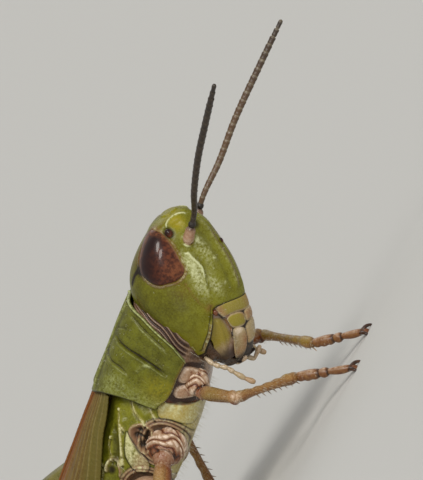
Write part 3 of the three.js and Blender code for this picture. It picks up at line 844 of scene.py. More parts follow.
def eye_gap(at):
    """How far points lie outside the eye's edge, seen along Y; below zero inside it."""
    flat = at[:, [0, 2]] - EYE_MIDDLE
    return np.hypot(*flat.T) - eye_reach(np.arctan2(flat[:, 1], flat[:, 0]))


KEEL = [
    (0.72, 0.8, 0.47), (0.81, 0.75, 0.42), (0.85, 0.75, 0.27), (0.9, 0.74, 0.08), (0.94, 0.74, -0.14),
    (0.9, 0.79, -0.33), (0.85, 0.86, -0.55), (0.8, 0.92, -0.95),
]
COSTA = [
    (1.2, 0.12, 1.3), (1.38, 0.14, 0.98), (1.46, 0.15, 0.7), (1.5, 0.19, 0.24), (1.52, 0.2, -0.3),
    (1.47, 0.22, -0.85), (1.38, 0.26, -1.3),
]
FOVEOLA = [
    (0.59, 0.61, 1.3), (0.66, 0.51, 1.42), (0.78, 0.39, 1.48), (0.92, 0.31, 1.48), (1.07, 0.24, 1.42),
    (1.19, 0.19, 1.3),
]
SOCKET = (0.97, 0.6, 0.72)
SIDE_OCELLUS = (0.61, 0.69, 1.17)


def skull_foot(x):
    """Height of the skull's lower rim at a place along the head."""
    return steps_of(SKULL_FOOT, x)


def make_head():
    clay = Clay(head_form("head", 1.52, skull_foot, 320, 250), on_head)
    x, y, z = clay.at.T
    side = np.abs(clay.normal[:, 1])
    outer = smooth(0.02, 0.25, side)
    foot = z - skull_foot(x)
    # A fine rim round each eye, with a sunk bed inside it.
    gap = eye_gap(clay.at)
    facing = smooth(0.1, 0.35, side) * (z > -0.4)
    clay.push(0.022 * peak(gap - 0.03, 0.03) * facing)
    clay.push(-0.1 * smooth(0.0, -0.1, gap) * facing)
    clay.paint(WARM, 0.9 * peak(gap - 0.03, 0.045) * facing)
    clay.paint(PALE, 0.22 * peak(gap - 0.04, 0.02) * facing)
    clay.find_normals()
    # The face: keels beside the eyes, and the broad flat costa down the middle.
    clay.ridge(KEEL, 0.035, 0.03, ends=(0.1, 0.4))
    clay.streak(PALE, 1.4, KEEL[:7], 0.026, ends=(0.05, 0.35))
    clay.ridge(shifted(KEEL[1:], x=0.07, y=-0.07), 0.06, -0.03, DARK, 0.12)
    clay.ridge(COSTA, 0.06, 0.04, PALE, 0.14, ends=(0.2, 0.1))
    clay.streak(WARM, 0.5, shifted(COSTA[2:], x=0.05, y=-0.04), 0.06)
    trough = [(px + 0.06, 0.0, pz) for px, py, pz in COSTA[2:]]
    clay.ridge(trough, 0.12, -0.045, ends=(0.1, 0.3))
    clay.ridge(shifted(COSTA[1:], x=-0.14, y=0.15), 0.08, -0.035, DARK, 0.1)
    clay.ridge(FOVEOLA, 0.03, 0.028, PALE, 1.0, ends=(0.02, 0.12))
    clay.swell(-0.05, (0.84, 0.5, 1.22), (0.2, 0.14, 0.2))
    clay.dab(YELLOW, 0.95, (0.88, 0.46, 1.28), (0.25, 0.2, 0.25), sharp=1.5)
    clay.dab(YELLOW, 0.45, (0.75, 0.2, 1.55), (0.35, 0.3, 0.15))
    # A painted shadow of the feeler's base on the face above the socket.
    clay.dab(DARK, 0.95, (1.26, 0.3, 0.98), (0.13, 0.16, 0.14), sharp=1.5)
    # Round the feeler's socket.
    ring = np.linalg.norm(clay.folded() - SOCKET, axis=1)
    clay.push(0.035 * peak(ring - 0.17, 0.035))
    clay.push(-0.08 * smooth(0.15, 0.07, ring))
    clay.paint(WARM, 0.9 * smooth(0.2, 0.12, ring))
    clay.paint(PALE, 0.95 * peak(ring - 0.165, 0.03) * smooth(1.0, 0.9, x) * smooth(0.8, 0.65, z))
    clay.dab(PALE, 0.75, (1.17, 0.49, 0.58), (0.1, 0.09, 0.1), sharp=1.6)
    # A dark ring holds each side ocellus.
    clay.dab(DARK, 0.85, SIDE_OCELLUS, (0.17, 0.15, 0.19), sharp=3)
    clay.swell(-0.03, SIDE_OCELLUS, (0.16, 0.14, 0.18), sharp=3)
    # Seams: below the eye, and round the back of the cheek.
    below_eye = [(0.42, 1.15, -0.12), (0.5, 1.24, -0.5), (0.56, 1.22, -0.95), (0.62, 1.1, -1.2)]
    clay.ridge(below_eye, 0.05, -0.03, WARM, 0.35)
    rear = [
        (-1.12, 0.83, 0.13), (-1.08, 1.06, -0.14), (-1.06, 1.11, -0.48), (-1.04, 1.05, -0.96),
        (-0.94, 1.0, -1.5), (-0.68, 0.95, -2.05),
    ]
    clay.ridge(rear, 0.05, 0.025, WARM, 0.5)
    # The lower rim: pale and rolled along the cheek, darkened with painted shade in the seam above the
    # lips.
    lips = smooth(0.6, 0.72, x)
    clay.paint(DARK, 0.9 * smooth(0.014, 0.0, foot) * outer)
    clay.push(-0.02 * peak(foot, 0.03) * lips)
    strip = smooth(0.125, 0.11, foot) * smooth(-0.25, -0.1, x) * (1 - lips) * outer
    strip = strip * smooth(-1.5, -1.75, z)
    # Painted shade over the lower rear of the cheek.
    cheek = smooth(-0.2, -0.6, z) * smooth(0.5, 0.1, x) * smooth(0.4, 0.8, np.abs(y))
    clay.paint(DARK, 0.14 * cheek)
    clay.paint(PALE, 0.3 * strip)
    clay.paint(WARM, 0.9 * strip)
    clay.paint(DARK, 0.8 * peak(foot - 0.13, 0.022) * smooth(-0.35, -0.2, x) * (1 - lips) * outer)
    clay.push(0.02 * strip)
    clay.dab(WARM, 0.7, (0.64, 1.05, -1.22), (0.14, 0.2, 0.12))
    clay.swell(0.03, (0.1, 1.35, -1.1), (0.5, 0.4, 0.45))
    # Colours: a dark streak behind the eye, a painted mint sheen before it, a browner cheek foot, and
    # painted shade over the upper cheek.
    streak = [
        (-0.5, 0.98, 0.48), (-0.66, 0.88, 0.62), (-0.82, 0.82, 0.55), (-1.0, 0.78, 0.4),
        (-1.15, 0.72, 0.22),
    ]
    clay.streak(DARK, 1, streak, 0.065, ends=(0, 0.15))
    clay.dab(DARK, 0.9, (-0.6, 0.9, 0.6), (0.14, 0.25, 0.16))
    clay.dab(WARM, 0.7, (0.15, 0.6, 1.42), (0.3, 0.25, 0.12))
    clay.dab(WARM, 0.45, (-0.75, 0.6, 0.9), (0.3, 0.3, 0.3))
    clay.dab(WARM, 0.3, (0.25, 1.3, -0.35), (0.3, 0.3, 0.3))
    # Painted highlights: the mint sheen on the face before the eye.
    clay.dab(PALE, 0.66, (0.78, 0.86, 0.1), (0.18, 0.16, 0.42), sharp=1.4)
    clay.dab(PALE, 0.5, (0.74, 0.98, -0.45), (0.18, 0.2, 0.36))
    clay.dab(PALE, 0.4, (1.0, 0.66, -0.75), (0.12, 0.16, 0.3))
    clay.dab(PALE, 0.3, (1.16, 0.5, 0.2), (0.18, 0.18, 0.4))
    for spot in ((1.22, 0.47, 0.42), (1.28, 0.4, -0.12), (1.12, 0.55, -0.32), (1.2, 0.5, -0.85)):
        clay.dab(PALE, 0.6, spot, (0.05, 0.05, 0.05))
        clay.swell(0.015, spot, (0.08, 0.08, 0.08))
    clay.paint(YELLOW, 0.3 * smooth(-1.2, -2.1, z) * outer * (1 - lips))
    # Painted shade over the upper rear of the cheek.
    cheek = smooth(0.35, 0.0, x) * outer
    clay.paint(DARK, 0.3 * cheek * smooth(-1.4, -0.5, z))
    clay.streak(DARK, 0.25, [(-0.9, 0.9, 0.3), (-1.0, 1.05, -0.4), (-0.95, 1.1, -1.2)], 0.25)
    clay.finish(HEAD_GREEN, "green_shell", "head", angle=60)


def make_eye(name, side):
    """A tall dome on the bed in the head, narrow above and broad below."""
    piece = ball_of("eye_" + name, 128, 72)
    x, out, z = points_of(piece)[:, [0, 2, 1]].T
    angle = np.arctan2(z, x)
    share = np.hypot(x, z)
    reach = eye_reach(angle) * share * 1.02
    across = EYE_MIDDLE[0] + reach * np.cos(angle)
    up = EYE_MIDDLE[1] + reach * np.sin(angle)
    bed = head_width(across, up)
    rise = np.where(out > 0, 0.25, 0.4) * np.abs(out) ** 0.9 * np.sign(out)
    lean = np.array([-0.02, 0.93, 0.3])
    at = np.stack([across, side * (bed - 0.06), up], 1) + rise[:, None] * lean * [1, side, 1]
    put_points(piece, at)
    if side < 0:
        turn_out(piece)
    clay = Clay(piece, on_head)
    inner = -eye_gap(clay.at)
    x, y, z = clay.at.T
    clay.paint(DARK, 0.95 * smooth(0.45, -0.35, x - 0.5 * (z - 0.7)))
    clay.paint(DARK, 0.6 * smooth(0.95, 1.3, z))
    clay.dab(WARM, 0.9, (0.4, 1.1, 0.2), (0.3, 0.5, 0.35))
    clay.paint(WARM, 0.8 * smooth(0.12, 0.02, inner) * smooth(0.3, 0.9, z))
    clay.paint(PALE, 0.7 * smooth(0.045, 0.0, inner) * smooth(-0.4, 0.4, x - z + 0.6))
    clay.finish(EYE_GLOSS, "eye", "eye_" + name)


def make_ocelli():
    for label, centre, size in (
        ("middle", (1.6, 0.0, 0.13), (0.035, 0.06, 0.075)),
        ("right", (0.61, -0.685, 1.17), (0.11, 0.11, 0.13)),
        ("left", (0.61, 0.685, 1.17), (0.11, 0.11, 0.13)),
    ):
        piece = ball_of("ocellus_" + label, 32, 20)
        put_points(piece, points_of(piece) * size + centre)
        clay = Clay(piece, on_head)
        ahead, above = clay.at[:, 0] - centre[0], clay.at[:, 2] - centre[2]
        clay.paint(DARK, smooth(-0.07, 0.07, above - 0.4 * ahead))
        clay.paint(WARM, smooth(0.0, -0.1, above))
        clay.finish(EYE_GLOSS, "eye")


FEELER_LENGTH = 6.3


def make_feeler(name, side):
    root = floor_point(on_head, 0.93, side * 0.62, 0.69)
    spread, rise = math.radians(23), math.radians(9 if side < 0 else 0)
    way = (math.cos(spread) * math.cos(rise), side * math.sin(spread) * math.cos(rise), math.sin(rise),)
    way = turned([way], PITCH)[0]
    arch = turned([(0, 0, 1)], PITCH)[0]
    stem = turned([(0.985, side * 0.1, 0.12)], PITCH)[0]
    first = floor_point(on_head, 0.98, side * 0.52, 0.66)

    def spot(share, lift=0.0):
        return first + way * FEELER_LENGTH * share + arch * lift

    base = root + stem * 0.62
    joints = [
        base, base + stem * 0.12 + way * 0.1, spot(0.3, 0.1), spot(0.5, 0.14), spot(0.75, 0.08),
        spot(0.985),
    ]
    segments = 23
    girth = [(0, 0.78), (0.06, 0.84), (0.2, 0.95), (0.6, 1.0), (0.85, 0.92), (1, 0.5)]
    rows = []
    for i in range(segments):
        full = 0.098 * steps_of(girth, i / segments)
        for share, size in ((0.0, 0.9), (0.1, 0.97), (0.5, 0.98), (0.9, 1.02), (0.99, 0.91)):
            rows.append(((i + share) / segments, full * size, full * size * 0.94))
    rings = segments * 10
    piece = limb("antenna_" + name, joints, rows, sides=20, rings=rings, dome=(0.2, 0.8), cap=0.006)
    clay = Clay(piece, on_floor)
    line = course(joints, 200)
    nearest = np.array([np.argmin(((line - p) ** 2).sum(1)) for p in clay.at]) / 199
    joint = (nearest * segments) % 1
    ring = peak(np.minimum(joint, 1 - joint), 0.12)
    # The two feelers differ only by painted light: the near one is kept dark as painted shade, the far
    # one browner with paler rings where light falls on it.
    clay.paint(PALE, ring * (0.1 if side < 0 else 0.55))
    clay.paint(WARM, (0.05 if side < 0 else 0.62) * smooth(1.2, 0.3, nearest))
    clay.finish(FEELER_SHELL, "feeler", "antenna_" + name)
    # The stout first joint and the short second one, between socket and flagellum.
    scape = limb(
        "scape_" + name, [root - stem * 0.05, root + stem * 0.5],
        [(0, 0.09, 0.09), (0.15, 0.14, 0.13), (0.6, 0.15, 0.135), (0.9, 0.125, 0.115), (1, 0.08, 0.08)],
        sides=32, rings=36,
    )
    clay = Clay(scape, on_floor)
    share = (clay.at - root) @ stem / 0.5
    clay.paint(PALE, 0.4 * smooth(0.4, 0.0, share))
    clay.paint(WARM, 0.3)
    clay.paint(DARK, 0.8 * smooth(0.7, 1.0, share))
    clay.finish(FLESH_SHELL, "feeler")
    pedicel = limb(
        "pedicel_" + name, [root + stem * 0.48, root + stem * 0.66],
        [(0, 0.07, 0.07), (0.3, 0.1, 0.1), (0.7, 0.105, 0.1), (1, 0.08, 0.08)], sides=24, rings=20,
    )
    clay = Clay(pedicel, on_floor)
    clay.paint(DARK, 0.5)
    clay.finish(FEELER_SHELL, "feeler")


# Plates of the lips on the right of the face; the left is their mirror image.
LIP_PLATES = {
    "brow": [
        (0.76, 0.98, -1.29), (0.99, 0.74, -1.35), (1.2, 0.47, -1.45), (1.35, 0.16, -1.54),
        (1.4, -0.2, -1.56), (1.3, -0.2, -1.98), (1.24, 0.26, -1.89), (1.11, 0.51, -1.77),
        (0.96, 0.72, -1.7), (0.83, 0.86, -1.68), (0.78, 0.93, -1.58),
    ],
    "side": [
        (0.85, 0.83, -1.76), (0.83, 0.83, -1.95), (0.88, 0.77, -2.1), (0.98, 0.6, -2.2),
        (1.11, 0.39, -2.24), (1.18, 0.34, -2.06), (1.17, 0.42, -1.88), (0.98, 0.7, -1.76),
    ],
    "middle": [
        (1.24, 0.29, -1.93), (1.21, 0.28, -2.08), (1.13, 0.31, -2.24), (1.2, -0.3, -2.3),
        (1.3, -0.3, -2.0),
    ],
    "cheek": [
        (0.79, 0.83, -2.17), (0.92, 0.7, -2.19), (1.02, 0.48, -2.33), (1.0, 0.47, -2.5),
        (0.94, 0.47, -2.66), (0.8, 0.5, -2.87), (0.63, 0.55, -3.02), (0.45, 0.65, -3.06),
        (0.42, 0.78, -2.88), (0.57, 0.87, -2.52), (0.7, 0.85, -2.3),
    ],
    "tongue": [
        (1.08, 0.38, -2.3), (1.03, 0.4, -2.48), (0.97, 0.4, -2.68), (0.86, 0.38, -2.84),
        (1.0, -0.3, -2.86), (1.15, -0.3, -2.33),
    ],
}


# ---- mouth ----------------------------------------------------------------------------------
def both_ends(share, cap, upper, lower):
    """The rolls of a mouth part's upper and lower ends, and the share of the way between them."""
    up, down = end_roll(share, cap, upper, last=False), end_roll(share, cap, lower)
    return up, down, np.clip((share - cap) / (1 - 2 * cap), 0, 1)


def rolled_in(at, middle, up, down):
    """Shuts the points toward the middle line where an end rolls in."""
    at = middle + (at - middle) * (up[2] * down[2])[:, None]
    at[:, 2] += up[1] - down[1]
    return at


def drawn_in(y, edge, share):
    """Widths past an edge are drawn in by a share of what passes it."""
    past = soft_past(np.abs(y) - edge, 0.04)
    return np.sign(y) * (np.abs(y) - share * past)


def make_lips():
    """Brow plate and upper lip: five pillowed plates a side, with painted shade darkening the seams
    between them.
    """

    def place(share, turn):
        up, down, along = both_ends(share, 0.05, 0.04, 0.07)
        x = np.ones(len(share))
        for _ in range(14):
            z = skull_foot(x) - 0.045 + (-3.06 - skull_foot(x)) * along
            x = 0.4 * x + 0.6 * np.maximum(head_section(z, turn)[:, 0], 0.66)
        at = head_section(z, turn, up[0] + down[0] + 0.015)
        back = steps_of(LIP_BACK, z) + up[0] + down[0]
        rounding = 0.03
        at[:, 0] = back + soft_past(at[:, 0] - back, rounding)
        at[:, 1] = drawn_in(at[:, 1], 0.78, 0.5)
        middle = np.stack([0 * z + 0.8, 0 * z, z], 1)
        return rolled_in(at, middle, up, down)

    clay = Clay(wrapped_ball("clypeus_and_labrum", place, 300, 190), on_head)
    x, y, z = clay.at.T
    inside = {label: clay.inside(corners, round_face) for label, corners in LIP_PLATES.items()}
    nearest = np.max(list(inside.values()), axis=0) + 0.03
    clay.push(0.05 * pillow(nearest, 0.05) - 0.02)
    sunk = smooth(0.0, -0.12, nearest) * smooth(-2.75, -2.45, z)
    clay.at[:, 1] -= 0.14 * sunk * smooth(0.3, 0.8, np.abs(y)) * np.sign(y)
    # Painted shade in the seams between the plates.
    clay.paint(DARK, (1.0 - smooth(-0.01, 0.012, nearest)) * (0.4 + 0.6 * smooth(-0.1, -0.04, nearest)))
    clay.paint(WARM, 0.9 * smooth(-0.04, -0.1, nearest))
    clay.paint(YELLOW, 0.85 * smooth(0.0, 0.03, inside["brow"]) * smooth(0.72, 0.95, x))
    clay.paint(WARM, 0.5 * smooth(0.0, 0.03, inside["brow"]) * smooth(0.35, 0.0, np.abs(y)))
    clay.paint(WARM, 0.45 * smooth(0.0, 0.03, inside["brow"]) * smooth(0.95, 0.8, x))
    clay.paint(YELLOW, 0.95 * smooth(0.0, 0.03, inside["side"]))
    clay.dab(WARM, 0.5, (1.14, 0.38, -1.98), (0.1, 0.14, 0.12))
    clay.paint(WARM, 0.55 * smooth(0.0, 0.03, inside["middle"]))
    clay.dab(PALE, 0.75, (0.9, 0.68, -2.27), (0.16, 0.2, 0.1), sharp=1.5)
    clay.dab(WARM, 0.75, (0.9, 0.52, -2.62), (0.14, 0.16, 0.22))
    clay.paint(WARM, 0.5 * smooth(-2.55, -2.85, z) * smooth(0.0, 0.03, inside["cheek"]))
    clay.paint(DARK, 0.85 * smooth(-2.82, -3.02, z))
    clay.finish(LIP_SHELL, "lip_tan", "clypeus_and_labrum", angle=60)


def make_jaws():
    """Both mandibles: an olive shield with a grey-brown edge beside the lip, dark below."""

    def place(share, turn):
        up, down, along = both_ends(share, 0.05, 0.04, 0.08)
        z = -1.42 - 1.38 * along
        at = head_section(z, turn, up[0] + down[0] + 0.015)
        at[:, 1] = drawn_in(at[:, 1], 0.82, 0.4)
        back = steps_of(JAW_BACK, z) + up[0] + down[0]
        bow = 0.16 * smooth(-2.65, -2.2, z) * smooth(-1.5, -1.7, z)
        front = steps_of(LIP_BACK, z) - 0.015 - up[0] - down[0] + bow
        rounding = 0.025
        at[:, 0] = back + soft_past(at[:, 0] - back, rounding)
        at[:, 0] = front - soft_past(front - at[:, 0], rounding)
        middle = np.stack([(back + front) / 2, 0 * z, z], 1)
        return rolled_in(at, middle, up, down)

    clay = Clay(wrapped_ball("mandibles", place, 300, 150), on_head)
    x, y, z = clay.at.T
    front = steps_of(LIP_BACK, z) + 0.14 * smooth(-2.65, -2.2, z) * smooth(-1.5, -1.7, z) - x
    back = x - steps_of(JAW_BACK, z)
    fold = [(0.62, 1.02, -1.62), (0.55, 0.98, -2.0), (0.42, 0.95, -2.4), (0.3, 0.9, -2.65)]
    clay.ridge(fold, 0.06, 0.035)
    clay.paint(YELLOW, 0.95 * smooth(0.1, 0.28, front) * smooth(0.0, 0.1, back) * smooth(-2.5, -2.2, z))
    clay.paint(WARM, 0.85 * smooth(0.32, 0.14, front) + 0.6 * smooth(0.14, 0.04, back))
    clay.paint(PALE, 0.28 * peak(front - 0.16, 0.05))
    # Painted shade along the front and back edges, where the jaw meets the lip and the head.
    clay.paint(DARK, 0.75 * smooth(0.05, 0.0, front) + 0.5 * smooth(0.03, 0.0, back))
    clay.paint(DARK, 0.85 * smooth(-2.4, -2.72, z))
    clay.finish(JAW_SHELL, "jaw_grey", "mandible_right", "mandible_left", angle=60)
    # The ball joint at each mouth corner.
    for name, side in SIDES.items():
        joint = ball_of("jaw_joint_" + name, 28, 18)
        put_points(joint, points_of(joint) * (0.07, 0.07, 0.09) + (0.68, side * 0.97, -1.42))
        clay = Clay(joint, on_head)
        clay.paint(WARM, 0.9)
        clay.paint(DARK, 0.35)
        clay.finish(FLESH_SHELL, "flesh_brown")


def make_under_mouth():
    """Maxillae and lower lip: dark, folded and soft, behind the mandibles."""

    def place(share, turn):
        up, down, along = both_ends(share, 0.06, 0.08, 0.12)
        z = -1.7 - 1.35 * along
        at = head_section(z, turn, up[0] + down[0] + 0.06)
        front = steps_of([(-1.7, 0.2), (-2.3, 0.1), (-2.7, 0.15), (-3.05, 0.4)], z)
        rounding = 0.05
        at[:, 0] = front - soft_past(front - at[:, 0], rounding)
        middle = np.stack([0 * z - 0.2, 0 * z, z], 1)
        return rolled_in(at, middle, up, down)

    clay = Clay(wrapped_ball("labium", place, 200, 120), on_head)
    for fold, depth in (
        ([(-0.1, 0.85, -2.35), (-0.3, 0.75, -2.5), (-0.5, 0.55, -2.6)], -0.06),
        ([(0.0, 0.75, -2.7), (-0.15, 0.65, -2.85), (-0.3, 0.45, -2.95)], -0.06),
        ([(0.0, 0.9, -2.5), (-0.2, 0.75, -2.65), (-0.4, 0.55, -2.8)], 0.05),
    ):
        clay.ridge(fold, 0.06, depth)
    clay.dab(WARM, 0.6, (-0.1, 0.8, -2.45), (0.3, 0.5, 0.2))
    clay.finish(MOUTH_SKIN, "flesh_brown", "labium", angle=60)


def make_palp(name, joints, girth, *nodes):
    """A jointed feeler of the mouth: each joint widens toward its far end."""
    joints = [floor_point(on_head, *joint) for joint in joints]
    last = len(joints) - 2
    for i, (start, end) in enumerate(zip(joints[:-1], joints[1:])):
        knob = girth + 0.006 * (i >= 4)
        rows = girths(knob, [(0, 0.65, 0.65), (0.3, 0.85, 0.85), (0.85, 1, 1), (1, 0.8, 0.8)])
        piece = limb(f"{name}_joint_{i + 1}", [start, end], rows, sides=20, rings=18, cap=0.12)
        clay = Clay(piece, on_floor)
        clay.paint(PALE, 0.35 if i < 4 else 0.15)
        clay.paint(WARM, 0.15 + 0.4 * (i == last))
        clay.dab(DARK, 0.5, start, (0.05,) * 3, mirror=False)
        clay.finish(LIP_SHELL, "lip_tan", *(nodes if i == 0 else []))


def make_palps():
    """Each maxillary palp has a hidden root and pale joints; each labial palp has three."""
    for name, side in SIDES.items():
        joints = [
            (-0.32, side * 0.85, -2.5), (-0.18, side * 0.97, -2.74), (-0.03, side * 1.0, -2.88),
            (0.14, side * 1.0, -3.01), (0.24, side * 1.0, -3.2), (0.42, side * 1.0, -3.5),
            (0.62, side * 1.0, -3.73),
        ]
        make_palp("palp_" + name, joints, 0.072, "palp_" + name)
        if side < 0:
            joints = [
                (-0.1, -0.3, -2.9), (0.12, -0.42, -3.08), (0.36, -0.46, -3.19), (0.58, -0.42, -3.14),
            ]
        else:
            joints = [(-0.1, 0.3, -2.9), (0.15, 0.45, -3.3), (0.42, 0.5, -3.6), (0.76, 0.5, -3.32)]
        make_palp("labial_palp_" + name, joints, 0.068)


# ---- chest ----------------------------------------------------------------------------------
SHIELD_ROWS = [  # x, top, bottom, half width, lean, squareness
    (0.45, 0.0, -2.5, 1.42, 0.2, 3.4),
    (-0.6, 0.02, -2.5, 1.52, 0.16, 3.2),
    (-1.6, 0.0, -2.5, 1.62, 0.15, 3.1),
    (-2.6, 0.0, -2.5, 1.78, 0.16, 3.1),
    (-3.2, -0.02, -2.5, 1.84, 0.18, 3.1),
]
SHIELD_MIDDLE = -1.25
# Front, rear and lower edges of the pronotum, by degrees from the ridge and along X.
SHIELD_FRONT = [
    (0, 0.3), (48, 0.3), (62, 0.27), (74, 0.18), (87, 0.08), (98, 0.0), (106, -0.07), (113, -0.2),
    (124, -0.44),
]
SHIELD_REAR = [(0, -3.06), (33, -2.72), (56, -2.35), (75, -2.15), (92, -2.06), (112, -2.02)]
SHIELD_LOW = [(0.3, -2.25), (-0.4, -2.2), (-0.9, -2.16), (-1.62, -2.12), (-2.02, -1.92), (-2.2, -1.9)]


def reach_down(rows, edge, x, grow=0.0):
    """The turn round the trunk from its ridge down to the height of an edge."""
    top, bottom, _, _, square = blend(rows, x).T
    low = (blend(edge, x)[:, 0] - (top + bottom) / 2) / ((top - bottom) / 2 + grow)
    return math.pi / 2 - np.arctan2(low, (1 - np.abs(low) ** square) ** (1 / square))


def sheet(name, long, broad):
    """A grid with each point's share of its length, and its place across it from -1 to 1."""
    piece = fresh(
        bpy.ops.mesh.primitive_grid_add, name, x_subdivisions=long, y_subdivisions=broad, size=2
    )
    flat = points_of(piece)
    return piece, (flat[:, 0] + 1) / 2, flat[:, 1]


def shield_surface(along, around):
    """Points of the pronotum, from front to rear and from the left rim over the back to the right."""
    x = -1.4 + 0 * along
    for _ in range(8):
        turn = math.pi / 2 + around * reach_down(SHIELD_ROWS, SHIELD_LOW, x)
        at = trunk_section(SHIELD_ROWS, x, turn)
        degrees = np.degrees(np.arctan2(np.abs(at[:, 1]), at[:, 2] - SHIELD_MIDDLE))
        front = blend(SHIELD_FRONT, degrees)[:, 0]
        rear = blend(SHIELD_REAR, degrees)[:, 0]
        x = front + (rear - front) * along
    return trunk_section(SHIELD_ROWS, x, turn)


def make_pronotum():
    piece, along, around = sheet("pronotum", 146, 332)
    put_points(piece, shield_surface(along, around))
    clay = Clay(piece, on_trunk)
    x, y, z = clay.at.T
    # Sulci across the side: a sharp step darkened with painted shade, more painted shade just ahead of
    # it, and a lit fold behind it with a painted highlight.
    submarginal = [
        (0.12, 0.9, -0.25), (0.02, 1.22, -0.6), (-0.1, 1.42, -1.0), (-0.2, 1.5, -1.35),
        (-0.3, 1.54, -1.65),
    ]
    main = [
        (-0.78, 0.75, -0.06), (-0.79, 1.2, -0.38), (-0.82, 1.5, -1.06), (-0.86, 1.56, -1.4),
        (-0.97, 1.6, -1.95),
    ]
    third = [
        (-1.36, 0.0, 0.02), (-1.4, 0.6, -0.02), (-1.42, 1.09, -0.22), (-1.39, 1.35, -0.51),
        (-1.44, 1.52, -0.9),
    ]
    small = [(-0.58, 0.69, -0.05), (-0.36, 1.06, -0.24), (-0.31, 1.16, -0.36)]
    for line, width, depth, dark, lit in (
        (submarginal, 0.03, 0.035, 0.55, 0.25), (main, 0.04, 0.095, 1.0, 0.12),
        (third, 0.035, 0.05, 0.75, 0.08), (small, 0.03, 0.025, 0.35, 0.0),
    ):
        band = clay.along(line, width, ends=(0.15, 0.2))
        clay.push(-depth * band)
        clay.paint(DARK, band**2 * dark)
        behind = shifted(line, x=-0.075, z=-0.01)
        lip = clay.along(behind, width * 0.8)
        clay.push(0.4 * depth * lip)
        clay.paint(PALE, lip * lit)
        ahead = shifted(line, x=0.08, z=0.01)
        clay.streak(DARK, 0.25 * dark, ahead, width * 1.8)
    # Shallow hollows, pushed in and darkened with painted shade.
    for centre, size, depth in (
        ((-0.68, 1.47, -0.92), (0.15, 0.4, 0.24), 0.07), ((-1.25, 1.38, -0.58), (0.14, 0.4, 0.2), 0.06),
        ((-0.42, 1.5, -0.95), (0.12, 0.4, 0.3), 0.04), ((-0.62, 1.55, -1.5), (0.2, 0.4, 0.25), 0.05),
    ):
        hollow = clay.spot(centre, size)
        clay.push(-depth * hollow)
        clay.paint(DARK, 0.2 * hollow)
    # A raised fold, with painted highlights along its crest and at its front end.
    fold = [(-0.9, 1.55, -1.22), (-1.02, 1.53, -1.12), (-1.28, 1.53, -1.0)]
    clay.ridge(fold, 0.05, 0.035, PALE, 0.15)
    clay.dab(PALE, 0.9, (-0.92, 1.56, -1.22), (0.045, 0.3, 0.08))
    # Keels: one along the ridge, one along each shoulder, drawn in ahead of the middle.
    ridge_keel = [(0.28, 0, 0), (-1.5, 0, 0.0), (-2.9, 0, 0)]
    clay.ridge(ridge_keel, 0.05, 0.05, PALE, 0.3, ends=(0, 0.06))
    shoulder = [(0.25, 0.62, -0.03), (-0.8, 0.54, -0.02), (-1.5, 0.58, -0.02), (-2.6, 0.86, -0.05)]
    clay.ridge(shoulder, 0.06, 0.055, PALE, 0.45, ends=(0.03, 0.06))
    below = shifted(shoulder, y=0.16, z=-0.04)
    clay.streak(DARK, 0.4, below, 0.09)
    clay.find_normals()
    # The rolled rims: a pale raised one in front and below, a thin dark one behind.
    front = along * 3.2
    clay.push(0.03 * peak(front - 0.05, 0.04))
    clay.push(-0.05 * smooth(0.035, 0.0, front))
    clay.paint(PALE, 0.9 * peak(front - 0.035, 0.02))
    clay.paint(DARK, 0.45 * peak(front - 0.1, 0.03))
    rear = (1 - along) * 2.3
    clay.push(-0.04 * smooth(0.05, 0.0, rear))
    clay.paint(DARK, 0.9 * smooth(0.03, 0.005, rear))
    foot = (1 - np.abs(around)) * 2.9
    clay.push(0.025 * peak(foot - 0.06, 0.05))
    clay.push(-0.045 * smooth(0.04, 0.0, foot))
    ahead = smooth(0.95, 0.6, along)
    clay.paint(WARM, 0.9 * peak(foot - 0.04, 0.04) * ahead)
    clay.paint(PALE, 0.8 * peak(foot - 0.025, 0.02) * ahead)
    # The hind part is paler and bluer, a painted sheen; the lobe below is a clearer yellow green.
    clay.paint(PALE, 0.13 * smooth(-1.5, -2.0, x) * smooth(0.0, -0.4, z))
    clay.dab(PALE, 0.14, (-1.75, 1.35, -0.55), (0.22, 0.5, 0.22))
    clay.paint(YELLOW, 0.35 * smooth(-1.0, -1.9, z) * smooth(-0.9, -1.3, x) * smooth(-2.1, -1.6, x))
    finished = clay.finish(SHIELD_GREEN, "green_shell", "pronotum")
    apply_modifier(finished, "SOLIDIFY", thickness=0.07 * MM, offset=-1)


NECK_ROWS = [
    (0.75, -0.22, -1.9, 0.98, 0.05, 2.4), (0.4, -0.14, -2.05, 1.22, 0.1, 2.6),
    (0.1, -0.2, -2.3, 1.34, 0.1, 2.8), (-0.3, -0.2, -2.6, 1.38, 0.1, 2.8),
    (-0.7, -0.25, -2.85, 1.36, 0.08, 2.6), (-1.2, -0.3, -3.0, 1.36, 0.05, 2.6),
    (-2.15, -0.35, -3.1, 1.4, 0.05, 2.6),
]


WIND_ROWS = [
    (-1.66, -0.6, -3.02, 1.33, 0.14, 2.8), (-2.15, -0.55, -3.14, 1.42, 0.14, 2.8),
    (-3.0, -0.62, -3.2, 1.64, 0.14, 2.8), (-4.2, -0.66, -3.2, 1.64, 0.14, 2.7),
    (-5.6, -0.72, -3.12, 1.52, 0.12, 2.5),
]


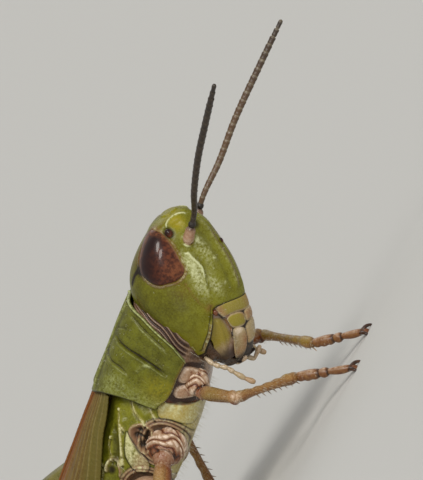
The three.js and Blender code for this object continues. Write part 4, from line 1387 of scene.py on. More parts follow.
def make_neck():
    """The folded skin from head to pronotum, and the small plates before the fore hips."""
    clay = Clay(trunk("neck_and_fore_chest", NECK_ROWS, 260, 240), on_trunk)
    x, y, z = clay.at.T
    # Folds run beside the pronotum's front edge: the dark skin is darker in their troughs with painted
    # shade and pale on their crests with painted highlights.
    slant = x - np.interp(z, [-2.2, -1.17, -0.6, 0], [-0.42, 0.08, 0.28, 0.3])
    soft = smooth(-0.1, 0.05, slant) * smooth(-2.3, -2.0, z)
    folds = np.cos((slant + 0.03 * np.sin(z * 6)) * 50 - 1.2)
    clay.push(0.02 * folds * soft)
    clay.paint(DARK, (0.88 - 0.3 * folds) * soft)
    clay.paint(PALE, 0.5 * smooth(0.75, 1.0, folds) * soft)
    # Painted shade beneath the neck, ahead of the plates.
    under = smooth(-2.1, -2.3, z) * smooth(-0.62, -0.3, x)
    clay.paint(DARK, 0.85 * under)
    # Two pillowed plates each side stand before the hip, with a dark red band behind them.
    plates = {
        "front": [
            (-0.55, 0, -2.26), (-0.71, 0, -2.76), (-1.0, 0, -2.64), (-1.18, 0, -2.2), (-0.81, 0, -2.15),
        ],
        "rear": [
            (-1.25, 0, -2.2), (-1.08, 0, -2.64), (-1.36, 0, -2.94), (-1.56, 0, -2.62),
            (-1.64, 0, -2.22),
        ],
    }
    inside = np.max([clay.inside(corners, from_side) for corners in plates.values()], axis=0)
    flank = smooth(0.6, 0.9, np.abs(y))
    folds = crumpled(clay.at, 0.22, 21)
    clay.push((0.07 * pillow(inside, 0.05) + 0.02 * folds * (inside > 0)) * flank)
    rim = peak(inside - 0.04, 0.03) * flank
    seam = smooth(0.01, -0.03, inside) * smooth(-0.2, -0.1, inside)
    clay.paint(DARK, 0.95 * seam * flank * smooth(-2.0, -2.15, z))
    clay.paint(PALE, 0.55 * rim)
    clay.paint(WARM, 0.7 * smooth(0.6, 0.2, folds) * smooth(0.05, 0.12, inside) * flank)
    band = smooth(-1.5, -1.64, x + 0.12 * (z + 2.2)) * smooth(0.02, -0.02, inside)
    clay.paint(WARM, band)
    clay.paint(DARK, 0.6 * band)
    clay.finish(FLESH_SHELL, "flesh_brown", "neck_and_fore_chest")


def make_winged_chest():
    clay = Clay(trunk("winged_chest", WIND_ROWS, 300, 250, dome=(0.02, 0.02), cap=0.03), on_trunk)
    x, y, z = clay.at.T
    flank = smooth(0.5, 0.9, np.abs(y))
    # Thin white ridges and dark seams slant down and back across the side plates.
    ridges = [
        ([(-2.1, 1.4, -1.0), (-2.49, 1.39, -1.42), (-2.61, 1.49, -1.66), (-2.7, 1.54, -1.84)], 1.0),
        ([(-2.05, 1.35, -1.6), (-2.28, 1.42, -1.84), (-2.42, 1.54, -2.0)], 0.8),
        ([(-2.62, 1.37, -0.8), (-2.85, 1.34, -1.0), (-3.02, 1.38, -1.155), (-3.14, 1.45, -1.34)], 1.0),
        ([(-3.0, 1.4, -1.12), (-3.33, 1.44, -1.3), (-3.71, 1.52, -1.48), (-4.15, 1.58, -1.66)], 0.8),
        ([(-3.5, 1.6, -0.8), (-3.78, 1.6, -0.87), (-4.03, 1.6, -1.11), (-4.2, 1.6, -1.3)], 0.9),
        ([(-4.4, 1.5, -1.0), (-4.8, 1.55, -1.2), (-5.3, 1.5, -1.5)], 0.5),
        ([(-4.95, 1.5, -1.2), (-5.1, 1.52, -1.8), (-5.2, 1.5, -2.3)], 0.5),
    ]
    for line, strength in ridges:
        clay.push(0.05 * clay.along(shifted(line, x=0.2, z=0.05), 0.14))
        seam = shifted(line, x=-0.075, z=-0.05)
        clay.ridge(seam, 0.04, -0.045, DARK, 0.7, ends=(0.05, 0.05))
        clay.ridge(line, 0.035, 0.05, ends=(0.02, 0.04))
        clay.streak(DARK, -0.8, line, 0.04, ends=(0.02, 0.06))
        clay.streak(PALE, 1.5 * strength, line, 0.034, ends=(0.02, 0.06))
        clay.streak(YELLOW, 0.6, line, 0.06, ends=(0.02, 0.06))
    wedge = [(-3.05, 0, -0.98), (-3.35, 0, -1.0), (-4.3, 0, -1.4), (-4.25, 0, -1.62), (-3.4, 0, -1.3)]
    depth = clay.inside(wedge, from_side)
    clay.push(-0.04 * smooth(-0.02, 0.06, depth) * flank)
    clay.paint(DARK, 0.55 * smooth(-0.02, 0.06, depth) * flank)
    # The oval rims of the hip sockets, one inside the other.
    for centre, size in (((-2.95, -2.46), (0.66, 0.72)), ((-4.5, -2.5), (0.72, 0.72))):
        gap = (np.hypot((x - centre[0]) / size[0], (z - centre[1]) / size[1]) - 1) * 0.7
        under = smooth(centre[1] + 0.55, centre[1] + 0.3, z)
        for level, height in ((0.0, 0.05), (-0.1, 0.035)):
            clay.push(height * peak(gap - level, 0.035) * flank)
            clay.paint(DARK, 0.9 * peak(gap - level + 0.05, 0.016) * flank)
        clay.push(-0.1 * smooth(-0.12, -0.22, gap) * flank)
        clay.paint(WARM, 1.0 * smooth(0.045, 0.03, gap) * flank)
        clay.paint(PALE, 0.3 * peak(gap, 0.02) * flank + 0.2 * peak(gap + 0.1, 0.02) * flank)
        clay.paint(DARK, 0.8 * smooth(-0.14, -0.22, gap) * flank)
        clay.paint(DARK, 0.8 * peak(gap - 0.05, 0.016) * flank)
        clay.push(-0.02 * (1 - under) * peak(gap, 0.1))
    # A soft red-brown pocket opens above the middle hip, and a pale plate lies behind it.
    hollow = [
        (-2.72, 0, -1.6), (-2.66, 0, -1.95), (-2.9, 0, -2.12), (-3.4, 0, -2.25), (-3.42, 0, -1.85),
        (-3.05, 0, -1.4),
    ]
    depth = clay.inside(hollow, from_side)
    folds = crumpled(clay.at, 0.2, 9)
    crumple = 0.05 * (folds - 0.5) * smooth(0.0, 0.05, depth)
    clay.push((-0.14 * smooth(0.0, 0.14, depth) + crumple) * flank)
    clay.push(0.05 * peak(depth, 0.035) * flank)
    clay.paint(WARM, 1.0 * smooth(-0.05, -0.02, depth) * flank)
    clay.paint(DARK, -1.0 * peak(depth, 0.05) * flank)
    # Painted shade deep in the pocket, strongest in its creases.
    clay.paint(DARK, 0.95 * smooth(0.04, 0.12, depth) * flank * smooth(1.0, 0.5, folds))
    clay.paint(PALE, 0.35 * peak(depth, 0.025) * flank)
    grey = [
        (-3.02, 0, -1.34), (-3.95, 0, -1.66), (-4.12, 0, -2.35), (-3.62, 0, -2.4), (-3.42, 0, -1.9),
        (-3.2, 0, -1.55),
    ]
    depth = clay.inside(grey, from_side)
    plate = smooth(-0.01, 0.03, depth) * flank
    clay.push(0.05 * pillow(depth, 0.05) * flank)
    clay.paint(DARK, -1.0 * plate)
    clay.paint(WARM, 0.8 * plate * smooth(-1.6, -2.1, z))
    clay.paint(PALE, (0.25 + 0.45 * smooth(-2.1, -1.6, z)) * plate)
    clay.paint(DARK, 0.9 * peak(depth + 0.015, 0.02) * flank)
    clay.ridge([(-3.3, 1.6, -1.66), (-3.5, 1.6, -2.0), (-3.6, 1.6, -2.3)], 0.03, -0.05, DARK, 0.8)
    # The yellow plate between fore and middle hips.
    yellow = [
        (-1.8, 0, -1.9), (-1.58, 0, -2.6), (-1.56, 0, -3.12), (-2.3, 0, -3.12), (-2.26, 0, -2.75),
        (-2.22, 0, -2.4), (-2.36, 0, -2.02),
    ]
    depth = clay.inside(yellow, from_side)
    plate = smooth(-0.02, 0.03, depth) * flank
    clay.push(0.03 * pillow(depth, 0.04) * flank)
    clay.paint(YELLOW, plate)
    clay.paint(PALE, 0.25 * plate)
    for glint in ((-1.98, 1.4, -2.1), (-1.9, 1.4, -2.3), (-1.85, 1.35, -2.5)):
        clay.dab(PALE, 0.7, glint, (0.14, 0.4, 0.06))
        clay.swell(0.02, glint, (0.12, 0.4, 0.06))
    clay.paint(DARK, 0.7 * peak(depth + 0.01, 0.014) * flank)
    # A sunk dark red band lies ahead of it.
    ahead = x - np.interp(z, [-3.1, -2.1], [-1.66, -1.86])
    clay.push(-0.08 * smooth(0.0, 0.05, ahead) * smooth(-1.9, -2.1, z))
    clay.paint(WARM, 1.0 * smooth(0.0, 0.03, ahead) * smooth(-1.9, -2.1, z))
    clay.paint(DARK, 0.8 * smooth(0.0, 0.05, ahead) * smooth(-1.9, -2.1, z))
    # A pinkish fold hooks over the upper corner of the hind hip.
    hook = [
        (-4.5, 1.6, -1.75), (-4.2, 1.6, -1.62), (-4.05, 1.6, -1.4), (-4.15, 1.6, -1.2),
        (-4.4, 1.6, -1.16), (-4.6, 1.6, -1.3),
    ]
    clay.ridge(hook, 0.06, 0.12, WARM, 1.0, ends=(0.05, 0.1))
    clay.streak(PALE, 0.9, hook, 0.045)
    clay.dab(DARK, 0.95, (-4.4, 1.55, -1.42), (0.15, 0.4, 0.12), sharp=2)
    # The breast: yellow, with a seam down each side.
    clay.paint(YELLOW, 1.0 * smooth(-2.72, -2.85, z))
    clay.paint(PALE, 0.3 * smooth(-2.72, -2.85, z))
    clay.paint(DARK, 0.6 * peak(z + 2.88, 0.02) * smooth(-2.2, -2.4, x))
    breast = [(-2.2, 0.75, -3.1), (-3.2, 0.85, -3.15), (-4.4, 0.85, -3.15), (-5.4, 0.8, -3.1)]
    clay.ridge(breast, 0.05, -0.04, WARM, 0.7)
    for seam_x in (-3.3, -4.6):
        clay.ridge([(seam_x, 0, -3.2), (seam_x - 0.1, 0.8, -3.15)], 0.05, -0.05, DARK, 0.5, ends=(0, 0.1))
    clay.finish(CHEST_GREEN, "chest_yellow", "winged_chest")


# ---- abdomen --------------------------------------------------------------------------------
RINGS = 9
ABDOMEN = (-5.64, -14.6)


def belly_fold(x):
    """Height of the fold where the back plates overlap the belly plates."""
    return np.interp(-x, [5.6, 10, 14.6], [-2.3, -2.2, -1.95])


def make_abdomen():
    start, end = ABDOMEN
    shape = [
        (0, -0.74, -3.1, 1.56), (0.35, -0.78, -3.12, 1.5), (0.7, -0.92, -2.88, 1.16),
        (0.9, -1.15, -2.55, 0.8), (1, -1.4, -2.3, 0.5),
    ]
    rows = [(start + (end - start) * t, top, bottom, wide, 0.06, 2.3) for t, top, bottom, wide in shape]
    clay = Clay(trunk("abdomen", rows, 220, 330, dome=(0.05, 0.25), cap=0.03), on_trunk)
    x, y, z = clay.at.T
    share = np.clip((x - start) / (end - start), 0, 0.9999) * RINGS
    ring = share % 1
    clay.push(0.05 * ring**2 - 0.06 * peak(ring, 0.07))
    clay.paint(DARK, 0.55 * peak(ring, 0.06))
    clay.paint(PALE, 0.25 * smooth(0.86, 0.97, ring))
    # Back plates overlap the belly plates along a fold low on each side.
    fold = z - belly_fold(x)
    side = smooth(0.5, 0.9, np.abs(y) / np.maximum(np.abs(y).max(), 1e-6) * 1.6)
    clay.push(0.04 * smooth(-0.05, 0.05, fold) - 0.04 * peak(fold, 0.07) * side)
    clay.paint(DARK, 0.5 * peak(fold + 0.02, 0.05) * side)
    clay.paint(YELLOW, 0.9 * smooth(0.0, -0.3, fold))
    clay.paint(DARK, 0.45 * peak(fold - 1.0, 0.28) * smooth(1.0, 0.2, share - 6))
    for i in range(8):
        place = start + (end - start) * (i + 0.3) / RINGS
        level = belly_fold(place) + 0.22
        hole = np.hypot(x - place, (z - level) * 1.2)
        clay.push((-0.05 * peak(hole, 0.06) + 0.025 * peak(hole - 0.09, 0.03)) * (np.abs(y) > 0.3))
        clay.paint(DARK, peak(hole, 0.05) * (np.abs(y) > 0.3))
    # The ear: an oval pit on the first ring.
    ear = np.hypot((x + 6.15) / 0.26, (z + 1.35) / 0.36)
    outer = np.abs(y) > 0.6
    clay.push((-0.1 * smooth(1.0, 0.75, ear) + 0.05 * peak(ear - 1.08, 0.12)) * outer)
    clay.paint(DARK, 0.7 * smooth(1.0, 0.7, ear) * outer)
    clay.finish(BELLY_GREEN, "deep_green", "abdomen")


def make_tail():
    tip = ABDOMEN[1]
    for i, hand in enumerate((-1, 1)):
        joints = [
            (tip + 0.5, 0, -1.8 + 0.16 * hand), (tip - 0.55, 0, -1.8 + 0.26 * hand),
            (tip - 0.93, 0, -1.8 + 0.42 * hand),
        ]
        joints = [floor_point(on_trunk, *joint) for joint in joints]
        rows = [(0, 0.26, 0.3), (0.5, 0.24, 0.29), (0.8, 0.16, 0.2), (0.93, 0.09, 0.12), (1, 0.04, 0.05)]
        clay = Clay(limb(f"egg_valve_{i + 1}", joints, rows, sides=32, rings=50), on_floor)
        clay.dab(DARK, 0.8, joints[-1], (0.3, 0.3, 0.3), mirror=False)
        clay.paint(WARM, 0.4)
        clay.finish(LIP_SHELL, "lip_tan", *(["ovipositor"] if i == 0 else []))
    for name, side in SIDES.items():
        joints = [(tip + 0.55, side * 0.45, -1.55), (tip - 0.32, side * 0.84, -1.5)]
        joints = [floor_point(on_trunk, *joint) for joint in joints]
        clay = Clay(
            limb(
                "cercus_" + name, joints, [(0, 0.2, 0.2), (0.6, 0.16, 0.16), (1, 0.06, 0.06)], sides=24,
                rings=30,
            ),
            on_floor,
        )
        clay.paint(YELLOW, 0.5)
        clay.finish(BELLY_GREEN, "deep_green", "cercus_" + name)


# ---- wings ----------------------------------------------------------------------------------
WING_ROWS = [
    (-2.3, -0.42, -3.2, 1.5, 0.16, 2.8), (-3.2, -0.4, -3.2, 1.64, 0.16, 2.8),
    (-4.6, -0.42, -3.2, 1.62, 0.14, 2.7), (-6.5, -0.46, -3.15, 1.55, 0.12, 2.5),
    (-8.5, -0.58, -3.15, 1.52, 0.1, 2.4), (-10.6, -0.78, -3.05, 1.4, 0.1, 2.4),
]
WING_FRONT = -2.45
WING_TIP = -10.15
WING_EDGE = [
    (-2.4, -0.5), (-2.94, -0.68), (-3.5, -0.8), (-3.95, -0.95), (-5.2, -1.35), (-7.2, -1.58),
    (-9.0, -1.45), (-9.8, -1.1), (-10.2, -0.7),
]


def make_forewing(name, side):
    """A leathery wing from the ridge of the back down to its lower edge, veined along its length."""
    piece, along, across = sheet("forewing_" + name, 300, 90)
    down = (across + 1) / 2
    tip = WING_TIP + 0.9 * (1 - np.sqrt(np.clip(1 - (2 * down - 0.9) ** 2 / 1.25, 0, 1)))
    x = WING_FRONT + (tip - WING_FRONT) * along
    grow = 0.3 + 0.04 * side
    turn = math.pi / 2 + down * reach_down(WING_ROWS, WING_EDGE, x, grow)
    at = trunk_section(WING_ROWS, x, turn, 1.0, grow)
    at[:, 1] *= -side
    put_points(piece, at)
    if side > 0:
        turn_out(piece)
    clay = Clay(piece, on_trunk)
    # Long veins fan out gently from the root; short ones cross between them.
    long_veins = [
        (0.16, 0.1, 1.0), (0.3, 0.22, 0.8), (0.42, 0.36, 1.0), (0.52, 0.5, 0.7), (0.6, 0.6, 1.0),
        (0.68, 0.74, 0.8), (0.78, 0.88, 1.0), (0.9, 0.97, 0.6),
    ]
    height = np.zeros(len(along))
    for root, end, size in long_veins:
        line = root + (end - root) * along + 0.012 * np.sin(along * 9 + root * 20)
        height += size * peak(down - line, 0.011)
    cell = np.floor(down * 11)
    cross = np.abs(((along * 46 + cell * 0.37 + 0.25 * np.sin(cell * 5)) % 1) - 0.5) * 2
    fine = peak(1 - cross, 0.16) * 0.45
    clay.push(0.035 * height + 0.012 * fine - 0.01)
    clay.paint(PALE, np.clip(0.5 * height + 0.2 * fine, 0, 0.8) * smooth(0.2, 0.5, down))
    clay.paint(DARK, 0.4 * np.clip(height, 0, 1) * smooth(0.5, 0.2, down))
    clay.paint(WARM, 0.8 * smooth(0.5, 0.25, down))
    clay.paint(YELLOW, 0.6 * smooth(0.6, 0.85, down))
    finished = clay.finish(WING_SHELL, "wing", "forewing_" + name)
    apply_modifier(finished, "SOLIDIFY", thickness=0.06 * MM, offset=-1)


# ---- legs -----------------------------------------------------------------------------------
SHIN = {"middle": 2.9, "hind": 9.3}
FOOT = {"middle": 1.7, "hind": 2.4}
SOLE = 0.26
TOE_HEIGHT = 0.13
HIND_THIGH = 10.3
FORE_JOINTS = {
    "right": [
        (-0.98, -0.85, -2.5), (-1.16, -1.3, -2.96), (-0.06, -3.0, -3.83), (0.39, -1.25, -5.19),
        (1.4, -1.45, -6.41),
    ],
    "left": [
        (-0.98, 0.85, -2.5), (-1.16, 1.3, -2.96), (-0.87, 3.0, -3.93), (0.33, 1.3, -5.34),
        (1.37, 1.05, -6.46),
    ],
}


def going(start, way, length):
    return start + unit(way) * length


def ankle_at(knee, length, lean, height):
    """Where a shin of the given length from the knee meets the floor."""
    run = math.sqrt(length**2 - (knee[2] - height) ** 2)
    ankle = going(knee, (*lean, 0), run)
    ankle[2] = height
    return ankle


def leg_joints(pair, name):
    """Hip, thigh root, knee, ankle and toe on the floor's frame."""
    side = SIDES[name]
    if pair == "fore":
        joints = [floor_point(on_trunk, *joint) for joint in FORE_JOINTS[name]]
    elif pair == "middle":
        hip = floor_point(on_trunk, -3.0, side * 1.1, -2.56)
        root = floor_point(on_trunk, -3.3, side * 1.9, -2.65)
        knee = floor_point(on_trunk, *((-4.4, -4.2, -3.4) if side < 0 else (-5.0, 3.9, -2.7)))
        lean = (-0.8, -0.6) if side < 0 else (-1, 0.15)
        ankle = ankle_at(knee, SHIN[pair], lean, SOLE + 0.1)
        joints = [hip, root, knee, ankle, going(ankle, (-0.6, side, 0), FOOT[pair])]
    else:
        hip = floor_point(on_trunk, -4.55, side * 1.2, -2.6)
        root = floor_point(on_trunk, -4.85, side * 2.4, -2.8)
        rise, splay = math.radians(20), math.radians(8)
        flat = math.cos(rise)
        knee = going(
            root, (-flat * math.cos(splay), side * flat * math.sin(splay), math.sin(rise)), HIND_THIGH,
        )
        ankle = ankle_at(knee, SHIN[pair], (1, side * 0.12), SOLE + 0.12)
        joints = [hip, root, knee, ankle, going(ankle, (-1, side * 0.35, 0), FOOT[pair])]
    joints[-1][2] = TOE_HEIGHT
    return joints


def spine(root, way, length, width):
    """A stiff thorn: a cone drawn out."""
    rows = girths(width, [(0, 1, 1), (0.25, 0.8, 0.8), (0.8, 0.35, 0.35), (1, 0.08, 0.08)])
    way = unit(way)
    up = (0, 0, 1) if abs(way[2]) < 0.9 else (1, 0, 0)
    return limb(
        "thorn", [root, root + way * length], rows, sides=10, rings=14, dome=(0.4, 0.3), up=up,
        cap=0.08,
    )


def hip_joint(name, hip, root, long, high):
    """A broad hip of crumpled skin, drawn in to the small ring at the thigh's root."""
    reach = np.linalg.norm(root - hip)
    way = (root - hip) / reach
    shape = [
        (0, high * 0.8, long * 0.85), (0.3, high, long), (0.5, high * 0.95, long * 0.93),
        (0.66, high * 0.78, long * 0.74), (0.82, high * 0.56, long * 0.5),
        (1, high * 0.44, high * 0.42),
    ]
    clay = Clay(
        limb(name, [hip, root + way * 0.12], shape, sides=130, rings=130, dome=(0.2, 0.3)), on_floor,
    )
    share = (clay.at - hip) @ way / reach
    soft = smooth(1.02, 0.85, share)
    folds = crumpled(clay.at - hip, 0.26 * high + 0.07, 5)
    clay.push((0.115 * high * (folds - 0.55)) * soft)
    # The creases are warm, with painted shade deep in them, and the crests carry painted highlights.
    clay.paint(WARM, 0.9 * smooth(0.7, 0.3, folds) * soft)
    clay.paint(DARK, 0.8 * smooth(0.34, 0.1, folds) * soft)
    clay.paint(PALE, 0.75 * smooth(0.75, 0.95, folds) * soft)
    clay.find_normals()
    gap = share - 0.9
    clay.push(-0.05 * peak(gap, 0.04) + 0.02 * peak(gap - 0.09, 0.05))
    clay.paint(DARK, 0.7 * peak(gap, 0.025))
    clay.paint(WARM, 0.6 * smooth(0.85, 0.95, share))
    return clay


# Length and height of the hip, girth of the thigh and of the shin.
LEG_SIZES = {"fore": (0.4, 0.38, 0.23, 0.155), "middle": (0.66, 0.56, 0.26, 0.16)}


def joined(pieces, name):
    choose(*pieces)
    bpy.ops.object.join()
    made = bpy.context.object
    made.name = made.data.name = name
    return made


def place_loose(piece):
    put_points(piece, points_of(piece) * MM)
    return piece


def grow_hairs(name, slot, skins, count, length, width, lie, where, seed):
    """Fine hairs on finished pieces, rooted where `where` is high and lying along `lie`."""
    roots, outs, places = [], [], []
    for skin in skins:
        piece = PIECES[skin]
        chart = np.zeros(len(piece.data.loops) * 2)
        piece.data.uv_layers[0].data.foreach_get("uv", chart)
        corner = np.zeros(len(piece.data.loops), int)
        piece.data.loops.foreach_get("vertex_index", corner)
        chosen = np.zeros((len(piece.data.vertices), 2))
        chosen[corner] = chart.reshape(-1, 2)
        roots.append(points_of(piece) / MM)
        outs.append(normals_of(piece))
        places.append(chosen)
    roots, outs, places = (np.concatenate(rows) for rows in (roots, outs, places))
    chance = np.random.default_rng(seed)
    weight = np.clip(where(roots, outs), 0, None)
    picked = chance.choice(len(roots), count, replace=False, p=weight / weight.sum())
    root, out, place = roots[picked], outs[picked], places[picked]
    hair = ball_of(name, 5, 6)
    x, y, z = points_of(hair).T
    share, turn = np.arccos(np.clip(z, -1, 1)) / math.pi, np.arctan2(y, x)
    apply_modifier(
        hair, "ARRAY", count=count, use_relative_offset=False, use_constant_offset=True,
        constant_offset_displace=(0, 0, 3),
    )
    way = out + np.array(lie) * 0.7 + chance.normal(0, 0.18, (count, 3))
    way /= np.linalg.norm(way, axis=1)[:, None]
    side = np.cross(way, np.roll(way, 1, axis=1))
    side /= np.linalg.norm(side, axis=1)[:, None]
    over = np.cross(side, way)
    reach = length * chance.uniform(0.6, 1.25, count)
    thick = width * (1 - share) ** 0.6 * smooth(0, 0.08, share)
    at = root[:, None] - 0.015 * out[:, None] + way[:, None] * (reach[:, None] * share)[:, :, None]
    at = at + np.array(lie) * (0.25 * reach[:, None] * share**2)[:, :, None]
    at = at + side[:, None] * (thick * np.cos(turn))[None, :, None]
    at = at + over[:, None] * (thick * np.sin(turn))[None, :, None]
    put_points(hair, at.reshape(-1, 3) * MM)
    turn_out(hair)
    chart = hair.data.uv_layers[0]
    chart.name = "OFBake"
    corner = np.zeros(len(hair.data.loops), int)
    hair.data.loops.foreach_get("vertex_index", corner)
    patch = np.stack([np.cos(turn), share], 1) * 0.0015
    spread = (place[:, None] * 0.99 + 0.005 + patch[None]).reshape(-1, 2)[corner]
    chart.data.foreach_set("uv", spread.ravel())
    hand_over(hair, HAIR_WHITE, slot)


def make_foot(leg, ankle, toe):
    """Three tarsal joints with pads beneath, two hooked claws and the cushion between them."""
    _, ahead, side, above = limb_frame(ankle, toe)
    cuts = [0.0, 0.42, 0.58, 1.0]
    girth = [0.14, 0.125, 0.1]
    for i, (start, end) in enumerate(zip(cuts[:-1], cuts[1:])):
        a, b = ankle + (toe - ankle) * start, ankle + (toe - ankle) * end
        g = girth[i]
        rows = girths(g, [(0, 0.8, 0.8), (0.2, 0.92, 0.95), (0.75, 1, 1.1), (1, 0.86, 0.95)])
        piece = limb(f"{leg}_foot_{i + 1}", [a, b], rows, sides=24, rings=24, cap=0.06, dome=(0.3, 0.3))
        clay = Clay(piece, on_floor)
        low = (clay.at - a) @ above
        share = (clay.at - a) @ ahead / np.linalg.norm(b - a)
        pads = 3 if i == 0 else 1
        clay.push(0.03 * smooth(0.0, -g, low) * np.abs(np.sin(share * math.pi * pads)))
        clay.paint(WARM, 0.55)
        clay.paint(DARK, 0.75 * smooth(0.85, 1.0, share) + 0.35 * smooth(0.12, 0.0, share))
        clay.paint(DARK, 0.25 * smooth(0.0, g, np.abs((clay.at - a) @ side)))
        clay.paint(PALE, 0.3 * smooth(0.3 * g, g, low) * smooth(0.9, 0.7, share))
        clay.finish(LEG_SHELL, "leg_rust", *([leg + "_tarsus"] if i == 0 else []))
    claws = []
    for hand in (-1, 1):
        root = toe + side * hand * 0.05 - ahead * 0.04
        knuckle = root + ahead * 0.14 + side * hand * 0.13 + above * 0.05
        bend = knuckle + ahead * 0.12 + side * hand * 0.07 - above * 0.04
        tip = bend - ahead * 0.02 + side * hand * 0.02 - above * 0.16
        rows = [(0, 0.065, 0.06), (0.3, 0.06, 0.055), (0.7, 0.035, 0.032), (1, 0.01, 0.01)]
        claws.append(limb(f"{leg}_claw", [root, knuckle, bend, tip], rows, sides=14, rings=36, up=side))
    pair = joined(claws, leg + "_claws")
    hand_over(place_loose(pair), CLAW_HORN, "leg_rust")
    rows = [(0, 0.05, 0.05), (0.6, 0.08, 0.12), (1, 0.06, 0.09)]
    end = [toe - ahead * 0.02 - above * 0.02, toe + ahead * 0.16 - above * 0.03]
    clay = Clay(limb(leg + "_cushion", end, rows, sides=20, rings=20, cap=0.2, up=above), on_floor)
    clay.paint(WARM, 0.8)
    clay.paint(DARK, 0.3)
    clay.finish(LEG_SHELL, "leg_rust")


def make_walking_leg(pair, name):
    leg = f"{pair}_leg_{name}"
    hip, root, knee, ankle, toe = leg_joints(pair, name)
    long, high, femur, tibia = LEG_SIZES[pair]
    clay = hip_joint(leg + "_coxa", hip, root, long, high)
    clay.finish(FLESH_SHELL, "flesh_brown", leg + "_coxa")
    thigh = girths(femur, [
        (0, 0.6, 0.55), (0.08, 0.85, 0.75), (0.35, 1, 0.8), (0.7, 0.84, 0.7), (0.86, 0.8, 0.7),
        (0.95, 0.95, 0.8), (1, 0.7, 0.6),
    ])
    clay = Clay(limb(leg + "_femur", [root, knee], thigh, sides=72, rings=130, square=2.4), on_floor)
    way = (knee - root) / np.linalg.norm(knee - root)
    above = np.array([0, 0, 1.0]) - way * way[2]
    above /= np.linalg.norm(above)
    share = (clay.at - root) @ way / np.linalg.norm(knee - root)
    lift = (clay.at - root) @ above / femur
    clay.push(-0.03 * peak(share - 0.88, 0.03))
    clay.push(-0.02 * peak(lift + 0.05, 0.12) * smooth(0.1, 0.2, share) * smooth(0.85, 0.75, share))
    # A painted highlight on the knee, and a slightly paler upper side.
    clay.paint(PALE, 0.4 * smooth(0.96, 1.02, share) + 0.08 * smooth(0.2, 0.6, lift))
    clay.paint(YELLOW, 0.4 * smooth(0.8, 0.5, share) * smooth(0.1, 0.7, lift) * smooth(0.2, 0.35, share))
    clay.paint(
        WARM, 0.85 * smooth(0.2, -0.5, lift) + 0.5 * smooth(0.8, 0.95, share) * smooth(0.4, 0.0, lift),
    )
    # A pink root, pale partly in its own colour and partly with painted glints.
    clay.paint(WARM, 0.9 * smooth(0.22, 0.05, share))
    clay.paint(PALE, 0.5 * smooth(0.16, 0.02, share))
    clay.paint(DARK, 0.5 * smooth(-0.4, -0.9, lift) + 0.4 * peak(share - 0.88, 0.02))
    clay.finish(LEG_SHELL, "leg_rust", leg + "_femur")
    shin = girths(tibia, [
        (0, 0.85, 0.85), (0.07, 1.08, 1), (0.2, 0.85, 0.85), (0.75, 0.9, 0.9), (0.94, 1.05, 1.05),
        (1, 0.75, 0.75),
    ])
    length, way, side, above = limb_frame(knee, ankle)
    below = -above
    clay = Clay(limb(leg + "_tibia", [knee, ankle], shin, sides=56, rings=130), on_floor)
    lift = -(clay.at - knee) @ below / tibia
    share = (clay.at - knee) @ way / length
    clay.push(0.012 * np.sin(share * 40) * smooth(0.2, 0.8, lift))
    clay.paint(YELLOW, 0.5 * smooth(0.3, 0.9, lift))
    clay.paint(WARM, 0.4 * smooth(0.0, -0.8, lift))
    clay.paint(DARK, 0.4 * smooth(0.95, 1.0, share) + 0.25 * smooth(-0.5, -1.0, lift))
    # The painted knee highlight runs onto the shin's top end.
    clay.paint(PALE, 0.4 * smooth(0.08, 0.0, share))
    clay.finish(LEG_SHELL, "leg_rust", leg + "_tibia")
    thorns = []
    for i in range(7):
        for hand in (-1, 1):
            along = knee + way * length * (0.34 + 0.09 * i)
            spot = along + side * hand * tibia * 0.55 + below * tibia * 0.6
            thorns.append(spine(spot, below + way * 0.9 + side * hand * 0.5, 0.15, 0.018))
    for hand in (-1, 1):
        spot = ankle - way * 0.06 + side * hand * tibia * 0.6 + below * tibia * 0.5
        thorns.append(spine(spot, way + below * 0.6 + side * hand * 0.4, 0.2, 0.026))
    hand_over(place_loose(joined(thorns, leg + "_thorns")), THORN_HORN, "leg_rust")
    make_foot(leg, ankle, toe)


